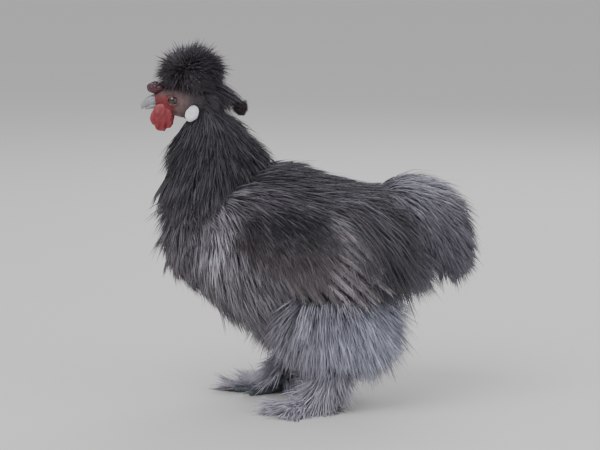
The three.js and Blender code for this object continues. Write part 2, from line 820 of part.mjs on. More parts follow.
const neck = new Plumage(
  (grow) => neckTrunk.solid(20, 9, grow),
  rowsOn(neckTrunk, hackleRows(), drawer(37)),
);
const crestRoom = wasm.Manifold.union([crest.grown(), ball(new V(-69.5, 0, 293.5), [8, 8, 9], 1, 0.4)]);
const wattleRoom = wasm.Manifold.union(
  [-1, 1].map((side) => ball(new V(-145, side * 8, 283), [13, 7.5, 15], 2)),
);
parts.neck = cut(neck.solid(), [headSolid(GAP), lobeRoom, crestRoom, wattleRoom, parts.crest, parts.head]);

const torso = new Plumage(
  (grow) => torsoTrunk.solid(22, 12, grow),
  [
    ...rowsOn(torsoTrunk, torsoRows(), drawer(53)),
    ...rowsOn(torsoTrunk, saddleRows(), drawer(59)),
  ],
);
const wings = Object.fromEntries(
  Object.entries(sides).map(([name, side]) => [
    name,
    new Plumage((grow) => wingTrunk(side).solid(14, 9, grow), wingLocks(side)),
  ]),
);
const neckRoom = neck.grown();
for (const name of Object.keys(sides)) parts[`wing_${name}`] = cut(wings[name].solid(), [neckRoom, parts.neck]);
const wingRoom = Object.keys(sides).flatMap((name) => [wings[name].grown(), parts[`wing_${name}`]]);
parts.torso = cut(torso.solid(), [neckRoom, parts.neck, ...wingRoom]);

const tail = new Plumage((grow) => tailTrunk.solid(16, 7, grow), tailLocks());
const torsoRoom = torso.grown();
parts.tail = cut(tail.solid(), [torsoRoom, parts.torso, ...wingRoom]);
const tailRoom = tail.grown();

for (const [name, leg] of Object.entries(LEGS)) {
  const thigh = new Plumage(
    (grow) => thighTrunk(leg).solid(16, 7, grow),
    rowsOn(thighTrunk(leg), thighRows(leg), drawer(97 + leg.side)),
  );
  const shank = new Plumage((grow) => shankTrunk(leg).solid(10, 5, grow), shankLocks(leg));
  parts[`thigh_${name}`] = cut(thigh.solid(), [torsoRoom, parts.torso, ...wingRoom, tailRoom, parts.tail]);
  parts[`foot_${name}`] = footSolid(leg);
  const footRoom = wasm.Manifold.union(footForm(leg, GAP));
  parts[`shank_${name}`] = cut(shank.solid(), [
    thigh.grown(),
    parts[`thigh_${name}`],
    footRoom,
    parts[`foot_${name}`],
    beyond(new V(0, 0, 1), DOWN),
  ]);
}

// The solid's triangles as a three.js geometry
function geometryOf(solid) {
  const mesh = solid.getMesh();
  const places = new Float32Array(mesh.numVert * 3);
  for (let i = 0; i < mesh.numVert; i++) {
    places.set(mesh.vertProperties.subarray(i * mesh.numProp, i * mesh.numProp + 3), i * 3);
  }
  const geometry = new THREE.BufferGeometry()
    .setAttribute("position", new THREE.BufferAttribute(places, 3))
    .setIndex(new THREE.BufferAttribute(new Uint32Array(mesh.triVerts), 1));
  geometry.computeVertexNormals();
  return geometry;
}

const FINISH_OF = {
  head: "skin",
  beak: "beak",
  comb: "comb",
  wattle: "wattle",
  earlobe: "lobe",
  eye: "eye",
  crest: "hackle",
  neck: "hackle",
  torso: "body",
  wing: "wing",
  tail: "tail",
  thigh: "fluff",
  shank: "shank",
  foot: "shank",
};

const chicken = new THREE.Group();
for (const [name, solid] of Object.entries(parts)) {
  const [color, roughness] = FINISH[FINISH_OF[name.split("_")[0]]];
  const material = new THREE.MeshStandardMaterial({ color, roughness, metalness: 0 });
  const mesh = new THREE.Mesh(geometryOf(solid), material);
  mesh.name = name;
  chicken.add(mesh);
}

export default chicken;
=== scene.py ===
"""A silkie cockerel, life size, standing in profile with its head towards -X.

The sizes here are millimetres, in the frame's own axes, and each mesh is turned to metres as it is made. Bare
skin, horn and eyes are smooth closed forms. The coat is made of plumes, each a bundle of fine tapered barbs
that leave the skin along the lie of the feathers and bend under their own weight.
"""

from __future__ import annotations

import logging
import math
from dataclasses import dataclass, field, replace
from enum import Enum
from typing import Callable, Sequence

import bpy
import numpy as np
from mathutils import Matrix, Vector


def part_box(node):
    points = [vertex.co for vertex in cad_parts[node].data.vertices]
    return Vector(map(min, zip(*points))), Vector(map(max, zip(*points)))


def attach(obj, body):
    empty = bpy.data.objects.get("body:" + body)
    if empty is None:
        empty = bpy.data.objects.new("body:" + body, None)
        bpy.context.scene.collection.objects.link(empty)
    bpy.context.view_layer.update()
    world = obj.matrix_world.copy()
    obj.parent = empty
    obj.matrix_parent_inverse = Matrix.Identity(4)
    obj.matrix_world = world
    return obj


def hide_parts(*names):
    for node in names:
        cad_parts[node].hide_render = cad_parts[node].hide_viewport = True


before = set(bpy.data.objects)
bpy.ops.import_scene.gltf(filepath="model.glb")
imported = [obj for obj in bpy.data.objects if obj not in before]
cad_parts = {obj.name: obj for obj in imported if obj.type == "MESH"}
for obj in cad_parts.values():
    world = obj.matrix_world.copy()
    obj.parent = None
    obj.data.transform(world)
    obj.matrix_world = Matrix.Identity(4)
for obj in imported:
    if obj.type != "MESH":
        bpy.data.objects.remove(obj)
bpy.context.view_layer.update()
LOG = logging.getLogger("silkie")

Array = np.ndarray
Tone = Callable[[Array], Array]
Relief = Callable[[Array], Array]

METRES = 0.001  # one millimetre
STEP = 0.004  # the small step that slopes are read over
ACROSS = np.array([0.0, 1.0, 0.0])
DOWN = np.array([0.0, 0.0, -1.0])
BODY = "root"  # the frame's one body
BAKE_MAP = "OFBake"
PATCH = 0.003  # how wide one barb's patch is on the unwrap
PLASTIC = (0.7548776662, 0.5698402910)  # 1 over the plastic number, and over its square
SLICE = 8.0  # how far ahead or behind a section still holds a point
LEAST_HALF = 0.3  # the smallest half size of a section
SKIN_DEPTH = 7.0  # how far the skin lies under the solids' cores


class Side(Enum):
    """The two sides of the bird, as signs of Y."""

    LEFT = -1
    RIGHT = 1

    @property
    def word(self) -> str:
        """The side's name in lower case."""
        return self.name.lower()


def unit(vectors: Array) -> Array:
    """Vectors scaled to a length of one."""
    return vectors / np.maximum(np.linalg.norm(vectors, axis=-1, keepdims=True), 1e-9)


def ease(value: Array, low: float, high: float) -> Array:
    """A smooth step from 0 at low to 1 at high."""
    share = np.clip((value - low) / (high - low), 0.0, 1.0)
    return share * share * (3.0 - 2.0 * share)


def linear(colour: Sequence[float]) -> Array:
    """A display colour of 0 to 255 as linear light of 0 to 1."""
    share = np.asarray(colour, float) / 255.0
    return np.where(share <= 0.04045, share / 12.92, ((share + 0.055) / 1.055) ** 2.4)


def spline(points: Array, along: Array) -> Array:
    """A smooth curve through points, in cubic spans whose end slopes are half the chord of the neighbours.

    Args:
        points: the points that the curve meets, evenly spaced in its parameter.
        along: where to read the curve, from 0 to 1.

    Returns:
        One row for each value of along.
    """
    spans = len(points) - 1
    padded = np.vstack([2 * points[0] - points[1], points, 2 * points[-1] - points[-2]])
    place = np.clip(along, 0.0, 1.0) * spans
    first = np.minimum(place.astype(int), spans - 1)
    t = (place - first)[:, None]
    a, b, c, d = (padded[first + k] for k in range(4))
    return b + 0.5 * t * (c - a + t * (2 * a - 5 * b + 4 * c - d + t * (3 * (b - c) + d - a)))


def ripple(points: Array, size: float, seed: int) -> Array:
    """Uneven waves of about -1 to 1: the mean of sines that run in scattered directions.

    Args:
        points: places in millimetres, one row each.
        size: length of a wave, in millimetres.
        seed: starts the draw.

    Returns:
        One value for each point.
    """
    rng = np.random.default_rng(seed)
    waves = unit(rng.normal(size=(7, 3))) * math.tau / size * rng.uniform(0.7, 1.4, (7, 1))
    return 1.6 * np.sin(points @ waves.T + rng.uniform(0.0, math.tau, 7)).mean(axis=1)


def dent(points: Array, centre: Sequence[float], radius: float) -> Array:
    """A round bell of height 1 at the centre that falls away over the radius."""
    return np.exp(-(((points - np.asarray(centre)) / radius) ** 2).sum(axis=1))


@dataclass(frozen=True)
class Box:
    """A CAD node's box in millimetres."""

    low: Array
    high: Array

    @classmethod
    def of(cls, node: str) -> "Box":
        """The box of a node of the frame."""
        low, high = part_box(node)
        return cls(np.array(low) / METRES, np.array(high) / METRES)

    @property
    def centre(self) -> Array:
        """The middle of the box."""
        return (self.low + self.high) / 2

    @property
    def half(self) -> Array:
        """Half the box's sizes."""
        return (self.high - self.low) / 2


@dataclass
class Shell:
    """A closed surface: points, triangles, a linear colour for each point, and any places on the unwrap."""

    points: Array
    faces: Array
    tones: Array
    places: Array | None = None


def closed(grid: Array, tone: Tone, poles: Array | None = None) -> Shell:
    """Closes a grid of rings into a shell, by two poles or, with none, by joining its last ring to its first.

    Args:
        grid: rings by sides by 3.
        tone: gives the colour of each point.
        poles: the two end points.

    Returns:
        The shell, with its faces pointing out.
    """
    rings, sides = grid.shape[:2]
    here = np.arange(rings * sides).reshape(rings, sides)
    right = np.roll(here, -1, axis=1)
    low, high = (slice(None, -1), slice(1, None)) if poles is not None else (slice(None), slice(None))
    above = here[high] if poles is not None else np.roll(here, -1, axis=0)
    above_right = right[high] if poles is not None else np.roll(right, -1, axis=0)
    faces = [
        np.stack([here[low], right[low], above_right], axis=-1).reshape(-1, 3),
        np.stack([here[low], above_right, above], axis=-1).reshape(-1, 3),
    ]
    points = grid.reshape(-1, 3)
    if poles is not None:
        first, last = len(points), len(points) + 1
        faces.append(np.stack([right[0], here[0], np.full(sides, first)], axis=-1))
        faces.append(np.stack([here[-1], right[-1], np.full(sides, last)], axis=-1))
        points = np.vstack([points, poles])
    triangles = np.concatenate(faces)
    a, b, c = points[triangles].transpose(1, 0, 2)
    if (a * np.cross(b, c)).sum() < 0:
        triangles = triangles[:, ::-1]
    return Shell(points, triangles, tone(points))


@dataclass(frozen=True)
class Section:
    """Where a form is read: middles, directions of travel, the two ways across and the half sizes."""

    centre: Array
    ahead: Array
    up: Array
    side: Array
    half_up: Array
    half_side: Array


@dataclass(frozen=True)
class Roots:
    """Where plumes stand on a form: points, outward directions, and their turn around and place along it."""

    point: Array
    out: Array
    around: Array
    along: Array
    window: tuple[float, float] = (0.04, 0.96)

    def only(self, keep: Array) -> "Roots":
        """The roots that a mask keeps."""
        return Roots(self.point[keep], self.out[keep], self.around[keep], self.along[keep], self.window)

    def first(self, count: int) -> "Roots":
        """The first of the roots, up to a count."""
        return self.only(np.arange(len(self.point)) < count)

    def same(self, way: Sequence[float]) -> Array:
        """One direction for all of them."""
        return np.tile(way, (len(self.point), 1))

    @property
    def place(self) -> Array:
        """Their places on the unwrap: around by along, in the window's band of the unit square."""
        low, high = self.window
        return np.stack([0.5 + 0.92 * self.around / math.tau, low + (high - low) * self.along], axis=1)


class Loft:
    """A round form carried along a smooth path.

    A station is (x, y, z, up, side): a point of the path and the half sizes there. Around 0 is the up side.
    The section is an ellipse, or squarer where full is over 2. Its upper half leans sideways by tilt for each
    unit of height.
    """

    def __init__(self, stations: Sequence[Sequence[float]], full: float = 2.0, tilt: float = 0.0) -> None:
        """Keeps the stations as a path and its half sizes."""
        table = np.array(stations, float)
        self.path, self.radii, self.full, self.tilt = table[:, :3], table[:, 3:], full, tilt

    @classmethod
    def globe(cls, centre: Sequence[float], radii: Sequence[float], lean: float = 0.0) -> "Loft":
        """An ellipsoid as a loft up its own height: its radii follow a sine from pole to pole.

        Args:
            centre: the middle.
            radii: half sizes along X, Y and Z.
            lean: how far the top leans towards +X, in radians.

        Returns:
            The loft.
        """
        polar = np.linspace(0.02, 0.98, 13) * math.pi
        height = -np.cos(polar) * radii[2]
        ring = np.sin(polar)
        x = centre[0] + height * math.sin(lean)
        z = centre[2] + height * math.cos(lean)
        return cls(np.stack([x, np.full_like(x, centre[1]), z, ring * radii[0], ring * radii[1]], axis=1))

    def section(self, along: Array) -> Section:
        """The sections at places along the path.

        Args:
            along: places along the path, from 0 to 1.

        Returns:
            The sections.
        """
        centre = spline(self.path, along)
        ahead = unit(spline(self.path, along + STEP) - spline(self.path, along - STEP))
        side = unit(ACROSS - (ahead @ ACROSS)[:, None] * ahead)
        half = np.maximum(spline(self.radii, along), LEAST_HALF)
        return Section(centre, ahead, np.cross(ahead, side), side, half[:, 0], half[:, 1])

    def surface(self, around: Array, along: Array, grow: float = 0.0) -> Array:
        """Points of the surface, moved outwards by grow: the middle, plus up by cosine and side by sine.

        Args:
            around: turns about the path, in radians from the up side.
            along: places along the path, from 0 to 1.
            grow: how far the surface is moved outwards.

        Returns:
            One point for each pair of values.
        """
        s = self.section(along)
        power = 2.0 / self.full
        rise, reach = (np.sign(v) * np.abs(v) ** power for v in (np.cos(around), np.sin(around)))
        lift = np.maximum(s.half_up + grow, 0.2) * rise
        swing = np.maximum(s.half_side + grow, 0.2) * reach + self.tilt * np.maximum(lift, 0.0)
        return s.centre + lift[:, None] * s.up + swing[:, None] * s.side

    def normals(self, around: Array, along: Array) -> Array:
        """Outward directions: the cross product of a small step onward and a small step around.

        Args:
            around: turns about the path, in radians from the up side.
            along: places along the path, from 0 to 1.

        Returns:
            One unit vector for each pair of values.
        """
        onward = self.surface(around, along + STEP) - self.surface(around, along - STEP)
        across = self.surface(around + STEP, along) - self.surface(around - STEP, along)
        out = unit(np.cross(across, onward))
        away = self.surface(around, along) - self.section(along).centre
        return out * np.where((out * away).sum(axis=1) < 0, -1.0, 1.0)[:, None]

    def shell(
        self, sides: int, rings: int, tone: Tone, grow: float = 0.0, relief: Relief | None = None
    ) -> Shell:
        """The form as a closed shell.

        Args:
            sides: points round a ring.
            rings: rings along the path.
            tone: gives the colours.
            grow: how far the surface is moved outwards.
            relief: gives a height along the normal for each point.

        Returns:
            The shell.
        """
        along = np.repeat(np.linspace(0.0, 1.0, rings), sides)
        around = np.tile(np.arange(sides) * math.tau / sides, rings)
        points = self.surface(around, along, grow)
        if relief:
            points = points + self.normals(around, along) * relief(points)[:, None]
        ends = self.section(np.array([0.0, 1.0]))
        dome = 0.3 * np.minimum(ends.half_up, ends.half_side) + max(grow, 0.0)
        poles = ends.centre + ends.ahead * (dome * np.array([-1.0, 1.0]))[:, None]
        return closed(points.reshape(rings, sides, 3), tone, poles)

    def roots(
        self,
        count: int,
        seed: int,
        span: tuple[float, float] = (0.0, 1.0),
        grow: float = 0.0,
        window: tuple[float, float] = (0.04, 0.96),
    ) -> Roots:
        """Spreads roots evenly over the surface.

        The places follow the additive recurrence of the plastic number. A place is kept with a chance that
        goes with the girth and the slant pace there, so that the roots are as close on every part.

        Args:
            count: how many.
            seed: starts the draw.
            span: the stretch of the path that is covered.
            grow: how far the roots stand off the surface.
            window: the band of the unwrap that the whole path would take. It may start below 0 where the span
                leaves out the path's first part.

        Returns:
            The roots.
        """
        i = np.arange(6 * count)
        along = span[0] + (span[1] - span[0]) * ((0.5 + PLASTIC[0] * i) % 1.0)
        around = math.tau * ((0.5 + PLASTIC[1] * i) % 1.0 - 0.5)
        s = self.section(along)
        onward = spline(self.path, along + STEP) - spline(self.path, along - STEP)
        slope = (spline(self.radii, along + STEP) - spline(self.radii, along - STEP)).mean(axis=1)
        pace = np.hypot(np.linalg.norm(onward, axis=1), slope)
        weight = (s.half_up + s.half_side) * np.maximum(pace, 0.2 * pace.max())
        keep = np.random.default_rng(seed).random(len(i)) < weight / weight.max()
        along, around = along[keep][:count], around[keep][:count]
        return Roots(self.surface(around, along, grow), self.normals(around, along), around, along, window)

    def holds(self, points: Array, margin: float, endless: bool = False) -> Array:
        """Which points lie inside the form grown by a margin, or abreast of it as seen from the side.

        Args:
            points: the points to test.
            margin: how far the form is grown.
            endless: leaves out how far a point stands to the side.

        Returns:
            A mask.
        """
        s = self.section(np.linspace(0.0, 1.0, 50))
        off = points[:, None] - s.centre
        miss = np.abs((off * s.ahead).sum(axis=2))
        best = miss.argmin(axis=1)
        rows = np.arange(len(points))
        up = (off[rows, best] * s.up[best]).sum(axis=1) / (s.half_up[best] + margin)
        side = (off[rows, best] * s.side[best]).sum(axis=1) / (s.half_side[best] + margin)
        return (miss[rows, best] < SLICE) & (np.hypot(up, 0.0 * side if endless else side) < 1.0)


# The bird's own forms. Neck, trunk and tail are the cores of the frame's solids, and the head is nearly so.
HEAD = Loft(
    [
        (-96, 0, 297.5, 5, 5),
        (-104, 0, 299, 14, 13),
        (-115, 0, 301, 19, 16.5),
        (-127, 0, 302, 19.5, 16.5),
        (-138, 0, 301, 16, 13.5),
        (-146, 0, 299.5, 11.5, 10),
        (-151, 0, 298.6, 7.4, 7),
    ]
)
NECK = Loft(
    [
        (-112, 0, 297, 15, 15),
        (-105, 0, 281, 24, 19),
        (-100, 0, 263, 35, 28),
        (-96, 0, 243, 46, 39),
        (-94, 0, 222, 51, 48),
        (-90, 0, 204, 45, 49),
    ]
)
TORSO = Loft(
    [
        (-133, 0, 190, 16, 18),
        (-125, 0, 185, 38, 38),
        (-102, 0, 174, 59, 60),
        (-66, 0, 167, 76, 74),
        (-20, 0, 161, 76, 77),
        (26, 0, 164, 64, 72),
        (62, 0, 173, 50, 58),
        (80, 0, 181, 38, 42),
    ],
    full=2.1,
)
TAIL = Loft(
    [
        (66, 0, 193, 30, 33),
        (90, 0, 199, 27, 37),
        (113, 0, 190, 28, 37),
        (127, 0, 167, 25, 31),
        (131, 0, 146, 14, 17),
    ]
)
LEG_SPREAD = 42.0  # from the middle plane to each leg
SHANK_TOP = 52.0  # height of the hock


@dataclass(frozen=True)
class Stance:
    """Where the hip, the hock and the foot's pad of one leg stand along the bird, as X."""

    hip: float
    hock: float
    pad: float


STANCES = {Side.LEFT: Stance(20, 22, 8), Side.RIGHT: Stance(-8, -16, -36)}


def wing_loft(side: Side) -> Loft:
    """The folded arm of one wing.

    Args:
        side: left or right.

    Returns:
        The form.
    """
    s = side.value
    return Loft(
        [
            (-76, s * 66, 188, 9, 4),
            (-62, s * 72, 185, 20, 6),
            (-32, s * 78, 178, 31, 7.5),
            (4, s * 79, 168, 35, 7.5),
            (32, s * 76, 152, 30, 6.5),
            (47, s * 72, 139, 15, 4.5),
        ],
        tilt=-0.5 * s,
    )


def thigh_loft(side: Side) -> Loft:
    """One thigh, from inside the flank down to the hock.

    Args:
        side: left or right.

    Returns:
        The form.
    """
    hip, hock = STANCES[side].hip, STANCES[side].hock
    y = side.value * LEG_SPREAD
    return Loft(
        [
            (hip, y + 4 * side.value, 132, 32, 20),
            (hip + 1, y + 6 * side.value, 112, 47, 27),
            (hip + 2, y + 4 * side.value, 88, 49, 27),
            ((hip + hock) / 2 + 1, y, 67, 37, 22),
            (hock, y, SHANK_TOP + 2, 14, 12),
        ]
    )


@dataclass(frozen=True)
class Mark:
    """A soft patch of colour, an ellipse seen from the side: full inside it and fading past its edge."""

    x: float
    z: float
    half_x: float
    half_z: float
    colour: tuple[int, int, int]
    strength: float = 1.0

    def mask(self, points: Array) -> Array:
        """How much of the patch's colour each point takes, from 0 to its strength."""
        reach = ((points[:, 0] - self.x) / self.half_x) ** 2 + ((points[:, 2] - self.z) / self.half_z) ** 2
        return self.strength / (1.0 + reach**1.8)


@dataclass(frozen=True)
class Coat:
    """The colours of a coat: a ground colour with patches laid over it in order."""

    ground: tuple[int, int, int]
    marks: tuple[Mark, ...] = ()
    gain: float = 1.0

    def plain(self, points: Array) -> Array:
        """The ground colour alone at each point."""
        return np.tile(linear(self.ground), (len(points), 1))

    def __call__(self, points: Array) -> Array:
        """The linear colour at each point, unevenly mottled over about 25 mm.

        Args:
            points: places in millimetres, one row each.

        Returns:
            One linear colour for each point.
        """
        tones = self.plain(points)
        for mark in self.marks:
            mask = mark.mask(points)[:, None]
            tones = tones * (1.0 - mask) + linear(mark.colour) * mask
        return self.gain * tones * (1.0 + 0.16 * ripple(points, 25.0, 5))[:, None]


PLUMAGE_GAIN = 1.75  # barbs shade one another, so they are paler than the coat they make
BODY_COAT = Coat(
    (81, 76, 82),
    (
        Mark(-98, 262, 60, 48, (30, 27, 34)),
        Mark(-18, 236, 76, 28, (29, 28, 35)),
        Mark(60, 172, 36, 66, (18, 16, 22)),
        Mark(132, 176, 42, 66, (67, 63, 73)),
        Mark(92, 222, 22, 15, (124, 122, 132), 0.9),
        Mark(98, 172, 13, 34, (96, 94, 105), 0.7),
        Mark(-55, 96, 42, 36, (102, 98, 103)),
        Mark(40, 88, 50, 38, (128, 129, 143)),
        Mark(-10, 12, 150, 34, (138, 134, 144)),
        Mark(-92, 180, 10, 20, (146, 143, 151), 0.75),
    ),
    PLUMAGE_GAIN,
)
WING_COAT = Coat(
    (72, 65, 69),
    (
        Mark(-24, 202, 66, 24, (25, 23, 30)),
        Mark(50, 132, 40, 36, (84, 79, 83)),
        Mark(8, 205, 8, 9, (118, 116, 122), 0.8),
    ),
    PLUMAGE_GAIN,
)
CREST_COAT = Coat((56, 51, 57), (Mark(-100, 336, 20, 16, (32, 27, 34)),), PLUMAGE_GAIN)
KNOT_COAT = Coat((26, 14, 20), (), PLUMAGE_GAIN)


@dataclass(frozen=True)
class Barbs:
    """Fine tapered hairs. Each runs from its root, bends towards a middle point and ends at its tip.

    The path is the quadratic curve of the three points. A section is a flat triangle: two edges, a ridge.
    """

    root: Array
    bend: Array
    tip: Array
    across: Array
    width: Array
    tone: Array
    place: Array

    # Each section's place along the hair, its share of the width and its share of the colour: painted shade
    # darkens the root and painted light brightens the tip
    SECTIONS = ((0.0, 0.55, 0.62), (0.36, 1.0, 0.95), (0.72, 0.72, 1.15))
    # the tip's share of the colour, painted light
    TIP_PAINTED_LIGHT = 1.3

    def shell(self) -> Shell:
        """All the hairs as one shell of closed slivers.

        Returns:
            The shell.
        """
        count = len(self.root)
        rings, tones, places = [], [], []
        for t, wide, shade in self.SECTIONS:
            centre = (1 - t) ** 2 * self.root + 2 * t * (1 - t) * self.bend + t * t * self.tip
            ahead = unit((1 - t) * (self.bend - self.root) + t * (self.tip - self.bend))
            edge = unit(self.across - (self.across * ahead).sum(axis=1, keepdims=True) * ahead)
            ridge = np.cross(ahead, edge)
            half = (0.5 * wide * self.width)[:, None]
            rings += [centre + edge * half, centre + 0.5 * ridge * half, centre - edge * half]
            tones += [self.tone * shade] * 3
            places += [self.place + PATCH * np.array([u - 0.5, t - 0.5]) for u in (0.0, 0.5, 1.0)]
        points = np.stack([*rings, self.tip], axis=1).reshape(-1, 3)
        colours = np.stack([*tones, self.tone * self.TIP_PAINTED_LIGHT], axis=1).reshape(-1, 3)
        spots = np.stack([*places, self.place + PATCH * np.array([0.0, 0.5])], axis=1).reshape(-1, 2)
        last = 3 * len(self.SECTIONS)
        band = [
            face
            for ring in range(0, last - 3, 3)
            for a, b in ((0, 1), (1, 2), (2, 0))
            for face in ((ring + a, ring + b, ring + 3 + b), (ring + a, ring + 3 + b, ring + 3 + a))
        ]
        point_end = [(last - 3 + a, last - 3 + b, last) for a, b in ((0, 1), (1, 2), (2, 0))]
        pattern = np.array([(0, 2, 1), *band, *point_end])
        faces = (pattern[None] + (last + 1) * np.arange(count)[:, None, None]).reshape(-1, 3)
        return Shell(points, faces, colours, spots)

    @staticmethod
    def joined(sets: Sequence["Barbs"]) -> "Barbs":
        """Several sets of barbs as one."""
        names = ("root", "bend", "tip", "across", "width", "tone", "place")
        return Barbs(*(np.concatenate([getattr(s, name) for s in sets]) for name in names))


@dataclass(frozen=True)
class Plume:
    """How the barbs of one kind of plume grow.

    Attributes:
        barbs: how many a plume has.
        foot: radius of the patch that they leave.
        width: of a barb.
        lift: angle off the skin at the root.
        droop: how far their weight turns them down.
        spread: how far apart the tips are, against the roots.
        wave: how far a barb bends aside.
        ragged: how much the lengths differ.
    """

    barbs: int = 9
    foot: float = 3.4
    width: float = 1.25
    lift: float = 0.45
    droop: float = 0.5
    spread: float = 0.7
    wave: float = 1.6
    ragged: float = 0.13

    def grow(
        self,
        roots: Roots,
        lie: Array,
        length: Array | float,
        tone: Tone,
        seed: int,
        rise: Array | float = 1.0,
    ) -> Barbs:
        """Grows a plume from each root.

        A barb starts along the lie, lifted off the skin, and its second half turns down by the droop. A
        plume's barbs share a stray, and their tips draw together or open with the spread.

        Args:
            roots: where the plumes stand.
            lie: the way they lie, one row for each root.
            length: their lengths, or one for all.
            tone: gives the colour at a root.
            seed: starts the draw.
            rise: scales the lift, for all or for each plume.

        Returns:
            The barbs.
        """
        rng = np.random.default_rng(seed)
        total = len(roots.point) * self.barbs

        def each(values: Array | float) -> Array:
            """Repeats a value of each plume, or one for all, for the barbs."""
            rows = values if np.ndim(values) else np.full(len(roots.point), values)
            return np.repeat(rows, self.barbs, axis=0)

        flat = unit(lie - (lie * roots.out).sum(axis=1, keepdims=True) * roots.out)
        out, lie, side = each(roots.out), each(flat), each(np.cross(roots.out, flat))
        turn, reach = rng.uniform(0.0, math.tau, total), self.foot * np.sqrt(rng.random(total))
        offset = lie * (reach * np.cos(turn))[:, None] + side * (reach * np.sin(turn))[:, None]
        shared = each(rng.normal(size=(len(roots.point), 4)))
        own = rng.normal(size=(total, 5))
        size = each(length) * np.clip(1.0 + self.ragged * (0.7 * shared[:, 0] + 0.7 * own[:, 0]), 0.45, 1.5)
        tilt = self.lift * each(rise)
        tilt = tilt * (1.0 + 0.16 * shared[:, 1] + 0.16 * own[:, 1])
        sway = (0.1 * shared[:, 2] + 0.06 * own[:, 2])[:, None]
        start = unit(lie * np.cos(tilt)[:, None] + out * np.sin(tilt)[:, None] + side * sway)
        half = (0.5 * size)[:, None]
        root = each(roots.point) + offset - 2.0 * out
        bend = root + start * half + side * (self.wave * own[:, 3])[:, None]
        tip = bend + unit(start + self.droop * DOWN) * half + offset * (self.spread - 1.0)
        tip = tip + side * (0.8 * self.wave * own[:, 4])[:, None]
        shade = np.clip(1.0 + 0.16 * shared[:, 3] + 0.12 * own[:, 1], 0.5, 1.6)
        return Barbs(
            root,
            bend,
            tip,
            unit(side + 0.5 * out * own[:, 2:3]),
            self.width * (1.0 + 0.2 * np.clip(own[:, 4], -2.0, 2.0)),
            each(tone(roots.point)) * shade[:, None],
            each(roots.place),
        )


CREST_PLUME = Plume(foot=2.6, width=1.15, lift=1.0, droop=0.3, spread=1.5, wave=1.8, ragged=0.15)
KNOT_PLUME = Plume(barbs=7, foot=1.2, width=1.0, lift=0.9, droop=0.3, spread=1.2, wave=0.5)
CAPE_PLUME = Plume(foot=3.6, width=1.12, lift=0.48, droop=0.62, spread=0.65, wave=2.2)
NAPE_PLUME = Plume(barbs=7, foot=1.6, width=0.8, lift=0.4, droop=0.4, spread=0.9, wave=0.5)
BODY_PLUME = Plume(foot=3.8, width=1.12, lift=0.44, droop=0.4, spread=0.7, wave=2.6, ragged=0.17)
PROW_PLUME = replace(BODY_PLUME, lift=0.34, wave=2.4)
SADDLE_PLUME = Plume(foot=4.0, width=1.25, lift=0.3, droop=0.75, spread=0.55, wave=2.6, ragged=0.16)
RUMP_PLUME = replace(SADDLE_PLUME, lift=0.5, droop=0.5, spread=0.9, ragged=0.2)
TAIL_PLUME = Plume(barbs=10, foot=4.2, width=1.12, lift=0.48, droop=0.85, spread=0.9, wave=3.0, ragged=0.27)
COVERT = Plume(foot=3.4, width=1.15, lift=0.26, droop=0.22, spread=0.8, wave=2.0)
THIGH_PLUME = Plume(foot=4.2, width=1.2, lift=0.62, droop=0.3, spread=1.1, wave=2.6, ragged=0.17)
BOOT_PLUME = Plume(barbs=8, foot=1.8, width=1.2, lift=0.8, droop=0.42, spread=1.6, wave=1.8, ragged=0.18)
TOE_PLUME = Plume(barbs=8, foot=1.6, width=1.2, lift=0.5, droop=0.5, spread=2.0, wave=1.8, ragged=0.2)


